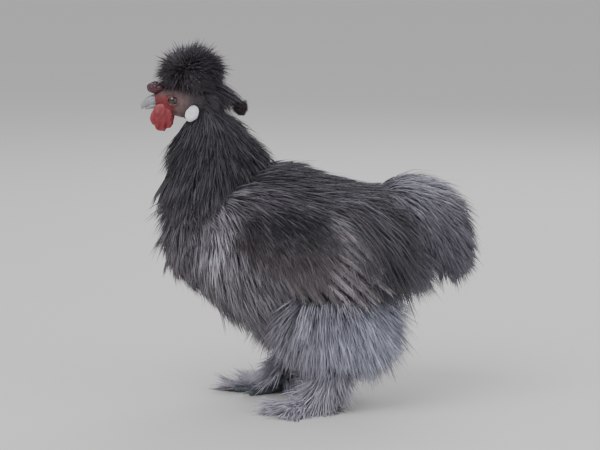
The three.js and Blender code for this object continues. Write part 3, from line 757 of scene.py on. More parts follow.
@dataclass(frozen=True)
class Vane:
    """A frayed flight feather: a shaft and two rows of barbs that leave it at a closing angle."""

    half_width: float
    rows: int = 44
    barb_width: float = 1.35

    def grow(self, root: Array, tip: Array, face: Array, tone: Array, place: Array, seed: int) -> Barbs:
        """Grows the feathers.

        Half the vane's width goes with the square root of a sine along the shaft. The barbs leave the shaft
        at about 41 degrees at its foot and 17 at its tip, and hang and fray a little.

        Args:
            root: the foot of each shaft.
            tip: the end of each shaft.
            face: the outward side of each vane.
            tone: the colour of each feather.
            place: its place on the unwrap.
            seed: starts the draw.

        Returns:
            The shafts and barbs.
        """
        rng = np.random.default_rng(seed)
        tip = tip + rng.normal(size=tip.shape) * [2.5, 0.0, 2.5]
        tone = tone * rng.uniform(0.72, 1.25, (len(tip), 1))
        span = tip - root
        bend = root + 0.5 * span + 0.05 * np.linalg.norm(span, axis=1, keepdims=True) * face - 3.0 * DOWN
        feathers = len(root)
        u = np.tile(np.repeat(np.linspace(0.08, 0.985, self.rows), 2), feathers)
        hand = np.tile([-1.0, 1.0], self.rows * feathers)
        each = np.repeat(np.arange(feathers), 2 * self.rows)
        total = len(u)
        stray = rng.normal(size=(total, 4))
        t = u[:, None]
        base = (1 - t) ** 2 * root[each] + 2 * t * (1 - t) * bend[each] + t * t * tip[each]
        ahead = unit((1 - t) * (bend - root)[each] + t * (tip - bend)[each])
        wide = hand[:, None] * np.cross(face[each], ahead)
        angle = (0.72 - 0.42 * u + 0.05 * stray[:, 0])[:, None]
        reach = self.half_width * np.sqrt(np.sin(math.pi * np.clip(u, 0.05, 1.0) ** 0.8 * 0.93 + 0.1)) + 2.0
        size = (reach / np.sin(np.maximum(angle[:, 0], 0.25)) * (1.0 + 0.1 * stray[:, 1]) * 0.62)[:, None]
        way = ahead * np.cos(angle) + wide * np.sin(angle)
        middle = base + way * 0.5 * size
        fray = 0.5 * face[each] * stray[:, 2:3] + 0.6 * DOWN * np.abs(stray[:, 3:4])
        end = middle + unit(way + 0.3 * ahead) * 0.5 * size + fray
        # One vane of each feather is paler, the feather's own pale edge, and the other is darker as painted
        # shade where the next feather overlaps it; the barbs also darken towards the root as painted shade
        # under the coverts.
        shade = (1.0 + 0.12 * stray[:, 3] - 0.28 * hand - 0.25 * (1.0 - u))[:, None]
        barbs = Barbs(
            base,
            middle,
            end,
            ahead,
            np.full(total, self.barb_width),
            tone[each] * shade,
            place[each] + np.stack([0.06 * u, 0.004 * hand], axis=1),
        )
        shafts = Barbs(root, bend, tip, np.cross(face, unit(span)), np.full(feathers, 1.8), 1.7 * tone, place)
        return Barbs.joined([barbs, shafts])


class Socket:
    """A shader value used in an expression. Each operator adds a Math node."""

    def __init__(self, tree: bpy.types.NodeTree, port: bpy.types.NodeSocket) -> None:
        """Wraps one output of a node."""
        self.tree, self.port = tree, port

    def _math(self, operation: str, first: "Socket | float", second: "Socket | float") -> "Socket":
        """Adds a Math node on two values.

        Args:
            operation: what the node does.
            first: a Socket or a number.
            second: a Socket or a number.

        Returns:
            The result as a value.
        """
        node = self.tree.nodes.new("ShaderNodeMath")
        node.operation = operation
        for port, value in zip(node.inputs, (first, second)):
            if isinstance(value, Socket):
                self.tree.links.new(value.port, port)
            else:
                port.default_value = value
        return Socket(self.tree, node.outputs[0])

    def __add__(self, other: "Socket | float") -> "Socket":
        """The sum."""
        return self._math("ADD", self, other)

    def __radd__(self, other: float) -> "Socket":
        """The sum, with the value on the right."""
        return self._math("ADD", other, self)

    def __sub__(self, other: "Socket | float") -> "Socket":
        """The difference."""
        return self._math("SUBTRACT", self, other)

    def __rsub__(self, other: float) -> "Socket":
        """The difference, with the value on the right."""
        return self._math("SUBTRACT", other, self)

    def __mul__(self, other: "Socket | float") -> "Socket":
        """The product."""
        return self._math("MULTIPLY", self, other)

    def __rmul__(self, other: float) -> "Socket":
        """The product, with the value on the right."""
        return self._math("MULTIPLY", other, self)


class NodeMaterial:
    """A node material under construction."""

    def __init__(self, name: str) -> None:
        """Starts an empty material."""
        self.material = bpy.data.materials.new(name)
        self.material.use_nodes = True
        self.tree = self.material.node_tree
        self.tree.nodes.clear()

    def node(self, kind: str, settings: dict | None = None, inputs: dict | None = None) -> bpy.types.Node:
        """Adds a node.

        Args:
            kind: its type.
            settings: attributes that are set first.
            inputs: values or Sockets by input name or number.

        Returns:
            The node.
        """
        node = self.tree.nodes.new(kind)
        for name, value in (settings or {}).items():
            setattr(node, name, value)
        for name, value in (inputs or {}).items():
            if isinstance(value, Socket):
                self.tree.links.new(value.port, node.inputs[name])
            else:
                node.inputs[name].default_value = value
        return node

    def read(self, node: bpy.types.Node, output: str | int = 0) -> Socket:
        """One output of a node as a value."""
        return Socket(self.tree, node.outputs[output])

    def noise(self, where: Socket, size: float, detail: float = 3.0) -> Socket:
        """Soft noise of 0 to 1 whose lumps are about size across, in millimetres."""
        inputs = {"Vector": where, "Scale": 1.0 / (size * METRES), "Detail": detail}
        return self.read(self.node("ShaderNodeTexNoise", None, inputs), "Fac")

    def cells(self, where: Socket, size: float) -> Socket:
        """The distance to the nearest of scattered points about size apart, from 0 at each point."""
        inputs = {"Vector": where, "Scale": 1.0 / (size * METRES)}
        return self.read(self.node("ShaderNodeTexVoronoi", None, inputs), "Distance")


@dataclass(frozen=True)
class Finish:
    """A surface finish over the piece's own colours.

    Attributes:
        name: the material's name.
        roughness: of the surface.
        mottle: how much the colour varies.
        mottle_size: over what length, in millimetres.
        bump: height of the fine relief, in millimetres.
        bump_size: its size.
        cell_size: size of rounded grains, or 0 for none.
        coat: weight of a clear wet coat.
        sheen: weight of a soft sheen.
        gloss: specular level.
        glow: weight of light carried under the surface.
    """

    name: str
    roughness: float
    mottle: float = 0.2
    mottle_size: float = 5.0
    bump: float = 0.2
    bump_size: float = 1.0
    cell_size: float = 0.0
    coat: float = 0.0
    sheen: float = 0.0
    gloss: float = 0.5
    glow: float = 0.0

    def material(self) -> bpy.types.Material:
        """Builds the material: the point colours scaled by noise, with relief from noise and grains.

        Returns:
            The material.
        """
        made = NodeMaterial(self.name)
        where = made.read(made.node("ShaderNodeTexCoord"), "Object")
        colour = made.read(made.node("ShaderNodeAttribute", {"attribute_name": "Tone"}), "Color")
        patchy = made.noise(where, self.mottle_size)
        scaled = made.node(
            "ShaderNodeVectorMath",
            {"operation": "SCALE"},
            {0: colour, "Scale": (1.0 - self.mottle) + 2.0 * self.mottle * patchy},
        )
        height = made.noise(where, self.bump_size)
        if self.cell_size:
            height = height * 0.4 + (1.0 - made.cells(where, self.cell_size))
        relief = {"Strength": 0.8, "Distance": self.bump * METRES, "Height": height}
        bump = made.node("ShaderNodeBump", None, relief)
        shader = made.node(
            "ShaderNodeBsdfPrincipled",
            None,
            {
                "Base Color": made.read(scaled, 0),
                "Roughness": self.roughness - 0.08 + 0.16 * patchy,
                "Specular IOR Level": self.gloss,
                "Coat Weight": self.coat,
                "Coat Roughness": 0.05,
                "Sheen Weight": self.sheen,
                "Sheen Roughness": 0.5,
                "Subsurface Weight": self.glow,
                "Subsurface Scale": 0.003,
                "Normal": made.read(bump, 0),
            },
        )
        made.node("ShaderNodeOutputMaterial", None, {"Surface": made.read(shader, 0)})
        return made.material


DOWNY = Finish(
    "downy_barbs", roughness=0.72, mottle=0.18, mottle_size=14.0,
    bump=0.05, bump_size=0.8, sheen=0.25, gloss=0.3,
)
SILKY = Finish(
    "silky_barbs", roughness=0.58, mottle=0.2, mottle_size=9.0,
    bump=0.05, bump_size=0.8, sheen=0.2, gloss=0.4,
)
HIDE = Finish("dark_hide", roughness=0.8, mottle=0.25, mottle_size=6.0, bump=0.3, bump_size=2.0)
FACE = Finish(
    "face_skin", roughness=0.52, mottle=0.3, mottle_size=3.0,
    bump=0.35, bump_size=0.7, cell_size=1.1, glow=0.12,
)
WARTY = Finish(
    "comb_skin", roughness=0.42, mottle=0.35, mottle_size=2.6,
    bump=0.3, bump_size=0.6, cell_size=0.9, coat=0.15, glow=0.08,
)
SOFT_RED = Finish(
    "wattle_skin", roughness=0.45, mottle=0.25, mottle_size=3.2,
    bump=0.25, bump_size=0.6, cell_size=0.8, coat=0.1, glow=0.2,
)
PEARLY = Finish(
    "lobe_skin", roughness=0.5, mottle=0.12, mottle_size=3.0,
    bump=0.15, bump_size=0.7, cell_size=1.0, glow=0.2,
)
HORNY = Finish("horn", roughness=0.36, mottle=0.3, mottle_size=2.5, bump=0.08, bump_size=0.5, coat=0.1)
WET = Finish(
    "wet_eye", roughness=0.12, mottle=0.1, mottle_size=1.0,
    bump=0.0, bump_size=1.0, coat=0.6, gloss=0.5,
)
SCALY = Finish("leg_scales", roughness=0.5, mottle=0.3, mottle_size=3.0, bump=0.15, bump_size=0.6)
_MATERIALS: dict[str, bpy.types.Material] = {}


def bare_object(name: str, shells: Sequence[Shell]) -> bpy.types.Object:
    """Makes one mesh object in metres from shells, with their colours and any unwrap, kept above the floor.

    Args:
        name: the object's name.
        shells: its parts.

    Returns:
        The object.
    """
    starts = np.cumsum([0, *(len(s.points) for s in shells[:-1])])
    points = np.concatenate([s.points for s in shells]) * METRES
    points[:, 2] = np.maximum(points[:, 2], 0.0)
    faces = np.concatenate([s.faces + start for s, start in zip(shells, starts)]).astype(np.int32)
    mesh = bpy.data.meshes.new(name)
    mesh.vertices.add(len(points))
    mesh.vertices.foreach_set("co", points.ravel().astype(np.float32))
    mesh.loops.add(faces.size)
    mesh.loops.foreach_set("vertex_index", faces.ravel())
    mesh.polygons.add(len(faces))
    mesh.polygons.foreach_set("loop_start", np.arange(0, faces.size, 3, dtype=np.int32))
    mesh.update(calc_edges=True)
    paint(mesh, np.concatenate([s.tones for s in shells]))
    if all(s.places is not None for s in shells):
        spots = np.concatenate([s.places for s in shells])[faces.ravel()]
        layer = mesh.uv_layers.new(name=BAKE_MAP)
        layer.uv.foreach_set("vector", spots.ravel().astype(np.float32))
    mesh.shade_smooth()
    made = bpy.data.objects.new(name, mesh)
    bpy.context.scene.collection.objects.link(made)
    return made


def paint(mesh: bpy.types.Mesh, tones: Array) -> None:
    """Stores a linear colour for each point of a mesh.

    Args:
        mesh: the mesh.
        tones: linear colours, one row for each point.
    """
    rgba = np.hstack([np.clip(tones, 0.0, 1.0), np.ones((len(tones), 1))])
    layer = mesh.color_attributes.new("Tone", "FLOAT_COLOR", "POINT")
    layer.data.foreach_set("color", rgba.ravel().astype(np.float32))


def place(made: bpy.types.Object, finish: Finish, slot: str, nodes: Sequence[str] = ()) -> None:
    """Dresses a piece and sets it on the bird's one body.

    Args:
        made: the piece.
        finish: its finish.
        slot: the record's material slot; not used.
        nodes: the CAD nodes that it stands for.
    """
    if finish.name not in _MATERIALS:
        _MATERIALS[finish.name] = finish.material()
    made.data.materials.append(_MATERIALS[finish.name])
    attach(made, BODY)
    if nodes:
        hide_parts(*nodes)
    LOG.info("%s: %d triangles", made.name, len(made.data.polygons))


def piece(name: str, shells: Sequence[Shell], finish: Finish, slot: str, nodes: Sequence[str] = ()) -> None:
    """Makes a piece from shells, dresses it and sets it in place."""
    place(bare_object(name, shells), finish, slot, nodes)


@dataclass
class Skin:
    """The hide under the coat: the forms of the body joined in one surface by a voxel remesh.

    Attributes:
        voxel: size of the remesh, in millimetres.
        smoothing: how many times it is relaxed.
        shade: the hide's share of the coat's colour.
        wing_depth: how far it lies under the wings' forms.
    """

    voxel: float = 2.6
    smoothing: int = 6
    shade: float = 0.5
    wing_depth: float = 3.0

    def build(self) -> None:
        """Makes the hide and paints it with the coat's own markings."""
        forms = [NECK, TORSO, TAIL, *(thigh_loft(s) for s in Side)]
        shells = [form.shell(56, 48, BODY_COAT, grow=-SKIN_DEPTH) for form in forms]
        shells += [wing_loft(s).shell(40, 40, BODY_COAT, grow=-self.wing_depth) for s in Side]
        rough = bare_object("hide", shells)
        remesh = rough.modifiers.new("join", "REMESH")
        remesh.mode, remesh.voxel_size = "VOXEL", self.voxel * METRES
        relax = rough.modifiers.new("relax", "SMOOTH")
        relax.factor, relax.iterations = 0.5, self.smoothing
        seen = rough.evaluated_get(bpy.context.evaluated_depsgraph_get())
        mesh = bpy.data.meshes.new_from_object(seen)
        old = rough.data
        rough.modifiers.clear()
        rough.data = mesh
        bpy.data.meshes.remove(old)
        mesh.name = "hide"
        points = np.empty(3 * len(mesh.vertices), np.float32)
        mesh.vertices.foreach_get("co", points)
        for layer in list(mesh.color_attributes):
            mesh.color_attributes.remove(layer)
        paint(mesh, self.shade * BODY_COAT(points.reshape(-1, 3) / METRES))
        mesh.shade_smooth()
        nodes = ["neck", "torso", "tail", *(f"{part}_{s.word}" for part in ("wing", "thigh") for s in Side)]
        place(rough, HIDE, "body", nodes)


@dataclass
class Head:
    """The bare head: face, lids, eyes, beak, comb, wattles and ear lobes."""

    face_red: tuple[int, int, int] = (112, 34, 38)
    cheek: tuple[int, int, int] = (98, 78, 77)
    brow: tuple[int, int, int] = (58, 38, 42)
    # painted shadow of the comb over the upper face
    nape: tuple[int, int, int] = (52, 45, 50)
    pupil: tuple[int, int, int] = (8, 6, 6)
    iris: tuple[int, int, int] = (44, 20, 12)
    eye_rim: tuple[int, int, int] = (20, 14, 14)
    horn: tuple[int, int, int] = (142, 144, 148)
    mulberry: tuple[int, int, int] = (58, 20, 32)
    wattle_red: tuple[int, int, int] = (122, 28, 36)
    wattle_rim: tuple[int, int, int] = (138, 48, 54)
    lobe_white: tuple[int, int, int] = (226, 226, 230)
    lobe_edge: tuple[int, int, int] = (176, 186, 204)
    warts: int = 46
    wart_radius: float = 3.6
    wart_height: float = 2.1
    eyes: dict[Side, Box] = field(default_factory=lambda: {s: Box.of(f"eye_{s.word}") for s in Side})

    def build(self) -> None:
        """Makes every piece of the head."""
        self.build_face()
        self.build_eyes()
        self.build_beak()
        self.build_comb()
        for side in Side:
            self.build_wattle(side)
            self.build_lobe(side)

    def face_tone(self, points: Array) -> Array:
        """Red round the gape, darker on the brow where the comb's shadow is painted, greyer on the cheek and
        dark towards the nape, by place.

        Args:
            points: places in millimetres, one row each.

        Returns:
            One linear colour for each point.
        """
        x, z = points[:, :1], points[:, 2:]
        # Painted shadow of the comb: the red fades out above the gape, and the upper face takes the dark brow
        # colour.
        red = (1.0 - ease(x, -139.0, -128.0)) * (1.0 - ease(z, 300.0, 309.0))
        upper = ease(z, 302.0, 312.0)
        tones = linear(self.brow) * upper + linear(self.cheek) * (1.0 - upper)
        tones = linear(self.face_red) * red + tones * (1.0 - red)
        back = ease(x, -124.0, -112.0)
        tones = tones * (1.0 - back) + linear(self.nape) * back
        return tones * (1.0 + 0.22 * ripple(points, 7.0, 3))[:, None]

    def face_relief(self, points: Array) -> Array:
        """Ridged ripples, a hollow round each eye, a brow over it and a cheek behind the gape.

        Args:
            points: places in millimetres, one row each.

        Returns:
            One height for each point, in millimetres.
        """
        folds = 0.5 * (1.0 - np.abs(ripple(points, 5.5, 11))) + 0.25 * (1.0 - np.abs(ripple(points, 2.6, 12)))
        height = 0.6 * folds
        for side, eye in self.eyes.items():
            middle = eye.centre + np.array([0.0, side.value * 4.0, 0.0])
            height = height - 1.7 * dent(points, middle, 7.0)
            height = height + 1.3 * dent(points, middle + np.array([-1.0, 0.0, 8.0]), 5.0)
            height = height + 1.4 * dent(points, (-141.0, side.value * 11.0, 291.5), 5.5)
        return height

    def lid(self, side: Side) -> Shell:
        """A wrinkled ring round the eye: a torus, flattened above and below, whose tube swells and thins.

        Args:
            side: left or right.

        Returns:
            The ring as a shell.
        """
        eye = self.eyes[side]
        wide, tall, tube = 5.6, 4.3, 1.25
        rings, sides = 72, 14
        a = np.repeat(np.linspace(0.0, math.tau, rings, endpoint=False), sides)
        b = np.tile(np.linspace(0.0, math.tau, sides, endpoint=False), rings)
        swell = tube * (1.0 + 0.14 * np.sin(9.0 * a) + 0.1 * np.sin(17.0 * a + 1.0))
        x = eye.centre[0] + (wide + swell * np.cos(b)) * np.cos(a)
        z = eye.centre[2] + (tall + swell * np.cos(b)) * np.sin(a)
        y = side.value * (14.3 + 1.1 * np.sin(b) * swell / tube - 0.5 * np.abs(np.cos(a)))
        return closed(np.stack([x, y, z], axis=1).reshape(rings, sides, 3), self.face_tone)

    def build_face(self) -> None:
        """Makes the skin of the head with its lids."""
        skull = HEAD.shell(160, 130, self.face_tone, grow=-0.4, relief=self.face_relief)
        piece("face", [skull, *(self.lid(s) for s in Side)], FACE, "skin", ["head"])

    def build_eyes(self) -> None:
        """Makes both eyes: spheres whose iris and pupil are rings about the outward axis."""
        rings, sides = 60, 64
        for side, eye in self.eyes.items():
            radius = eye.half[0] - 0.25
            polar = np.repeat(np.linspace(0.02, math.pi - 0.02, rings), sides)
            turn = np.tile(np.linspace(0.0, math.tau, sides, endpoint=False), rings)
            ring = np.sin(polar)
            away = np.stack([ring * np.cos(turn), side.value * np.cos(polar), ring * np.sin(turn)], axis=1)

            def tone(points: Array, middle: Array = eye.centre, hand: int = side.value) -> Array:
                """Black pupil, brown iris and a dark rim by the angle from the outward axis.

                Args:
                    points: places in millimetres, one row each.
                    middle: the eye's middle.
                    hand: the sign of its outward side.

                Returns:
                    One linear colour for each point.
                """
                angle = np.arccos(np.clip(unit(points - middle)[:, 1] * hand, -1.0, 1.0))[:, None]
                iris, rim = ease(angle, 0.3, 0.36), ease(angle, 0.72, 0.82)
                inner = linear(self.pupil) * (1.0 - iris) + linear(self.iris) * iris
                return inner * (1.0 - rim) + linear(self.eye_rim) * rim

            ends = eye.centre + radius * side.value * np.array([[0.0, 1.0, 0.0], [0.0, -1.0, 0.0]])
            ball = closed((eye.centre + radius * away).reshape(rings, sides, 3), tone, ends)
            piece(f"eyeball_{side.word}", [ball], WET, "eye", [f"eye_{side.word}"])

    def build_beak(self) -> None:
        """Makes the beak: a ridged and hooked upper half with nostrils, and a lower that it closes on."""
        face = Box.of("beak_upper").high[0] + 0.4

        def tone(points: Array) -> Array:
            """Pale grey horn, darker along the ridge and at the base.

            Args:
                points: places in millimetres, one row each.

            Returns:
                One linear colour for each point.
            """
            base = ease(points[:, :1], face - 6.0, face)
            ridge = ease(points[:, 2:], 300.0, 306.0)
            return linear(self.horn) * (1.0 - 0.45 * np.maximum(base, ridge))

        def relief(points: Array) -> Array:
            """Growth rings over the base, and a pit for each nostril.

            Args:
                points: places in millimetres, one row each.

            Returns:
                One height for each point, in millimetres.
            """
            rings = 0.12 * np.sin(points[:, 0] * 2.6) * ease(points[:, 0], face - 9.0, face)
            pits = sum(dent(points, (face - 4.6, s.value * 5.6, 300.6), 1.15) for s in Side)
            return rings - 1.3 * pits + 0.1 * ripple(points, 3.0, 21)

        upper = Loft(
            [
                (face + 4.0, 0, 299.6, 6.6, 6.6),
                (face - 5.0, 0, 298.8, 5.6, 5.4),
                (face - 10.0, 0, 296.8, 4.2, 3.8),
                (face - 14.0, 0, 293.8, 2.5, 2.1),
                (face - 15.4, 0, 291.0, 0.9, 0.8),
            ]
        )
        lower = Loft(
            [
                (face + 3.0, 0, 294.4, 3.6, 5.6),
                (face - 5.0, 0, 293.6, 2.9, 4.4),
                (face - 9.0, 0, 292.2, 2.0, 2.9),
                (face - 12.0, 0, 290.8, 0.9, 1.3),
            ]
        )
        piece("upper_beak", [upper.shell(56, 60, tone, relief=relief)], HORNY, "beak", ["beak_upper"])
        piece("lower_beak", [lower.shell(48, 44, tone, grow=-0.1)], HORNY, "beak", ["beak_lower"])

    def build_comb(self) -> None:
        """Makes the comb: a cushion of warts round scattered seeds, with three small points behind."""
        box = Box.of("comb")
        rng = np.random.default_rng(31)
        middle = np.array([box.centre[0], 0.0, box.low[2] + 5.0])
        radii = np.array([box.half[0] - 1.4, box.half[1] - 1.2, 5.4])
        seeds = middle + unit(rng.normal(size=(self.warts, 3))) * radii

        def relief(points: Array) -> Array:
            """Rounded warts: highest over each seed and creased half way to the next."""
            gap = np.linalg.norm(points[:, None] - seeds, axis=2).min(axis=1)
            dome = np.sqrt(np.clip(1.0 - (gap / self.wart_radius) ** 2, 0.0, 1.0))
            return self.wart_height * dome - 0.9

        def tone(points: Array) -> Array:
            """Dark mulberry, with painted shade in the creases and painted light on the wart tops."""
            # painted shade in the creases and painted light on the warts' tops, by the relief's height
            painted_light_and_shade = np.clip(1.0 + relief(points) * 0.25, 0.5, 1.3)[:, None]
            return linear(self.mulberry) * painted_light_and_shade

        cushion = Loft.globe(middle, radii).shell(110, 90, tone, relief=relief)
        points = [
            Loft(
                [
                    (box.high[0] - 4.0, y, middle[2] + 2.0, 1.8, 1.8),
                    (box.high[0] - 1.5, y * 1.1, middle[2] + 3.2, 1.5, 1.5),
                    (box.high[0] + 1.0, y * 1.2, middle[2] + 4.6, 0.6, 0.6),
                ]
            ).shell(16, 12, tone)
            for y in (-5.0, 0.0, 5.0)
        ]
        piece("comb_cushion", [cushion, *points], WARTY, "comb", ["comb"])

    def build_wattle(self, side: Side) -> None:
        """Makes one wattle: a thick round disc with soft upright folds and a rolled rim.

        Args:
            side: left or right.
        """
        box = Box.of(f"wattle_{side.word}")
        x, z = box.centre[0], box.centre[2]

        def relief(points: Array) -> Array:
            """Upright folds, stronger towards the lower rim."""
            lower = ease(-points[:, 2], -z - 6.0, -z + 10.0)
            return (0.25 + 0.5 * lower) * np.sin((points[:, 0] - x) * 0.95) + 0.3 * ripple(points, 5.0, 41)

        def tone(points: Array) -> Array:
            """Clear red, paler at the rim."""
            rim = ease(np.hypot(points[:, :1] - x, points[:, 2:] - z), 7.0, 12.0)
            return linear(self.wattle_red) * (1.0 - rim) + linear(self.wattle_rim) * rim

        s = side.value
        disc = Loft(
            [
                (x - 1.0, s * 8.4, box.high[2] + 0.5, 4.0, 2.4),
                (x - 0.4, s * 9.4, z + 7.0, 9.0, 3.0),
                (x, s * 10.0, z, 11.2, 3.2),
                (x - 0.2, s * 10.0, z - 7.0, 9.2, 3.2),
                (x - 0.6, s * 9.6, box.low[2] + 0.6, 3.6, 1.8),
            ]
        )
        skin = disc.shell(84, 64, tone, relief=relief)
        piece(f"wattle_skin_{side.word}", [skin], SOFT_RED, "wattle", [f"wattle_{side.word}"])

    def build_lobe(self, side: Side) -> None:
        """Makes one ear lobe: a pale leaning oval with a shallow dimple.

        Args:
            side: left or right.
        """
        box = Box.of(f"earlobe_{side.word}")
        middle = np.array([box.centre[0], side.value * 17.2, box.centre[2]])

        def tone(points: Array) -> Array:
            """Near white with a faint bluish cast towards its upper and lower ends."""
            edge = ease(np.abs(points[:, 2:] - middle[2]), 4.0, 9.0)
            return linear(self.lobe_white) * (1.0 - edge) + linear(self.lobe_edge) * edge

        def relief(points: Array) -> Array:
            """A dimple in the middle and a faint pebbling."""
            return 0.25 * ripple(points, 3.0, 51) - 0.8 * dent(points, middle + [0, 3.0 * side.value, 0], 3.0)

        oval = Loft.globe(middle, (6.0, 3.0, 8.4), 0.45)
        skin = oval.shell(56, 48, tone, relief=relief)
        piece(f"ear_lobe_{side.word}", [skin], PEARLY, "lobe", [f"earlobe_{side.word}"])


@dataclass
class Crest:
    """The globe of down on the skull, with streamers behind it that end in a dark knot."""

    centre: tuple[float, float, float] = (-117.0, 0.0, 323.5)
    core: tuple[float, float, float] = (17.0, 16.0, 14.0)
    reach: float = 23.5
    plumes: int = 980
    knot: tuple[float, float, float] = (-69.5, 0.0, 293.5)
    knot_core: tuple[float, float, float] = (3.6, 3.4, 4.2)
    knot_heart: tuple[float, float, float] = (4.2, 4.0, 4.8)
    knot_plumes: int = 190
    knot_length: float = 7.0
    streamer_count: int = 620
    streamer_width: float = 1.1

    def globe(self) -> Barbs:
        """The plumes of the globe, which stand out and sweep back.

        Returns:
            The barbs.
        """
        roots = Loft.globe(self.centre, self.core).roots(self.plumes, seed=61, window=(0.05, 0.82))
        face_side = (roots.out[:, 0] < -0.25) & (roots.out[:, 2] < -0.05)
        roots = roots.only(~face_side & (roots.out[:, 2] > -0.6))
        lie = roots.same([0.45, 0.0, -0.5]) + 0.25 * roots.out * ACROSS
        length = self.reach * (0.52 + 0.44 * ease(roots.out[:, 2], -0.55, 0.7))
        return CREST_PLUME.grow(roots, lie, length, CREST_COAT, seed=62)

    def streamers(self) -> Barbs:
        """Long barbs from the back of the globe to the knot.

        Returns:
            The barbs.
        """
        rng = np.random.default_rng(63)
        count = self.streamer_count
        spread = rng.normal(size=(count, 3))
        root = np.array(self.centre) + [12.0, 0.0, -7.0] + spread * [3.0, 8.0, 4.0]
        tip = np.array(self.knot) + spread * [4.0, 3.0, 3.0]
        tip[: count // 3] += [-8.0, 0.0, -6.0] + 5.0 * rng.normal(size=(count // 3, 3))
        bend = (root + tip) / 2 + [0.0, 0.0, 6.0] + 1.5 * rng.normal(size=(count, 3))
        tone = CREST_COAT(root) * (1.0 + 0.15 * spread[:, :1])
        spot = np.stack([0.1 + 0.8 * rng.random(count), np.full(count, 0.02)], axis=1)
        across, width = np.tile(ACROSS, (count, 1)), np.full(count, self.streamer_width)
        return Barbs(root, bend, tip, across, width, tone, spot)

    def knot_down(self) -> Barbs:
        """Short dark barbs all round the knot.

        Returns:
            The barbs.
        """
        roots = Loft.globe(self.knot, self.knot_core).roots(self.knot_plumes, seed=64, window=(0.85, 0.98))
        lie = roots.same([0.3, 0.0, -1.0])
        return KNOT_PLUME.grow(roots, lie, self.knot_length, KNOT_COAT, seed=65)

    def build(self) -> None:
        """Makes the crest over its dark pad of skin."""
        scalp = Loft.globe(self.centre, [r - 1.0 for r in self.core])
        pad = scalp.shell(60, 50, lambda points: 0.4 * CREST_COAT(points))
        core = Loft.globe(self.knot, self.knot_heart)
        heart = core.shell(30, 24, lambda points: 0.6 * KNOT_COAT(points))
        piece("crest_pad", [pad, heart], HIDE, "hackle")
        coat = Barbs.joined([self.globe(), self.streamers(), self.knot_down()])
        piece("crest_down", [coat.shell()], DOWNY, "hackle", ["crest"])


@dataclass
class Hackle:
    """The cape of the neck, and the short feathers of nape and cheek that lead into it."""

    plumes: int = 1180
    length: float = 32.0
    nape_plumes: int = 760
    lobe_clearance: float = 11.0

    def cape(self) -> Barbs:
        """Long plumes that hang down the neck, longer towards its foot.

        Returns:
            The barbs.
        """
        roots = NECK.roots(self.plumes, seed=71, span=(0.02, 1.0), grow=-SKIN_DEPTH, window=(0.04, 0.72))
        throat = (roots.point[:, 0] < -122) & (roots.point[:, 2] > 283)
        roots = roots.only(~TORSO.holds(roots.point, -14.0) & ~HEAD.holds(roots.point, -1.0) & ~throat)
        x, y = roots.point[:, 0], roots.point[:, 1]
        lie = np.stack([0.004 * (x + 96), 0.004 * y, -np.ones_like(x)], axis=1)
        front = (1.0 - ease(x, -124.0, -100.0)) * ease(roots.along, 0.25, 0.55)
        length = self.length + 12.0 * roots.along + 4.0 * front
        return CAPE_PLUME.grow(roots, lie, length, BODY_COAT, seed=72, rise=1.0 - 0.88 * front)

    def fringe(self) -> Barbs:
        """Small feathers over the back and the sides of the head, clear of the ear lobes.

        Returns:
            The barbs.
        """
        roots = HEAD.roots(self.nape_plumes, seed=73, window=(0.75, 0.97))
        lobe = Box.of("earlobe_left").centre
        off = np.hypot(roots.point[:, 0] - lobe[0], roots.point[:, 2] - lobe[2])
        beside = (np.abs(roots.out[:, 1]) > 0.4) & (roots.point[:, 0] < -106)
        kept = (roots.point[:, 0] > -126) & ~((off < self.lobe_clearance) & beside)
        roots, beside = roots.only(kept), beside[kept]
        lie = roots.same([0.8, 0.0, -0.6])
        length = np.where(beside, 4.5, 7.0 + 12.0 * ease(roots.point[:, 0], -124.0, -104.0))
        return NAPE_PLUME.grow(roots, lie, length, BODY_COAT, seed=74)

    def build(self) -> None:
        """Makes the cape."""
        piece("hackle_plumes", [Barbs.joined([self.cape(), self.fringe()]).shell()], SILKY, "hackle")


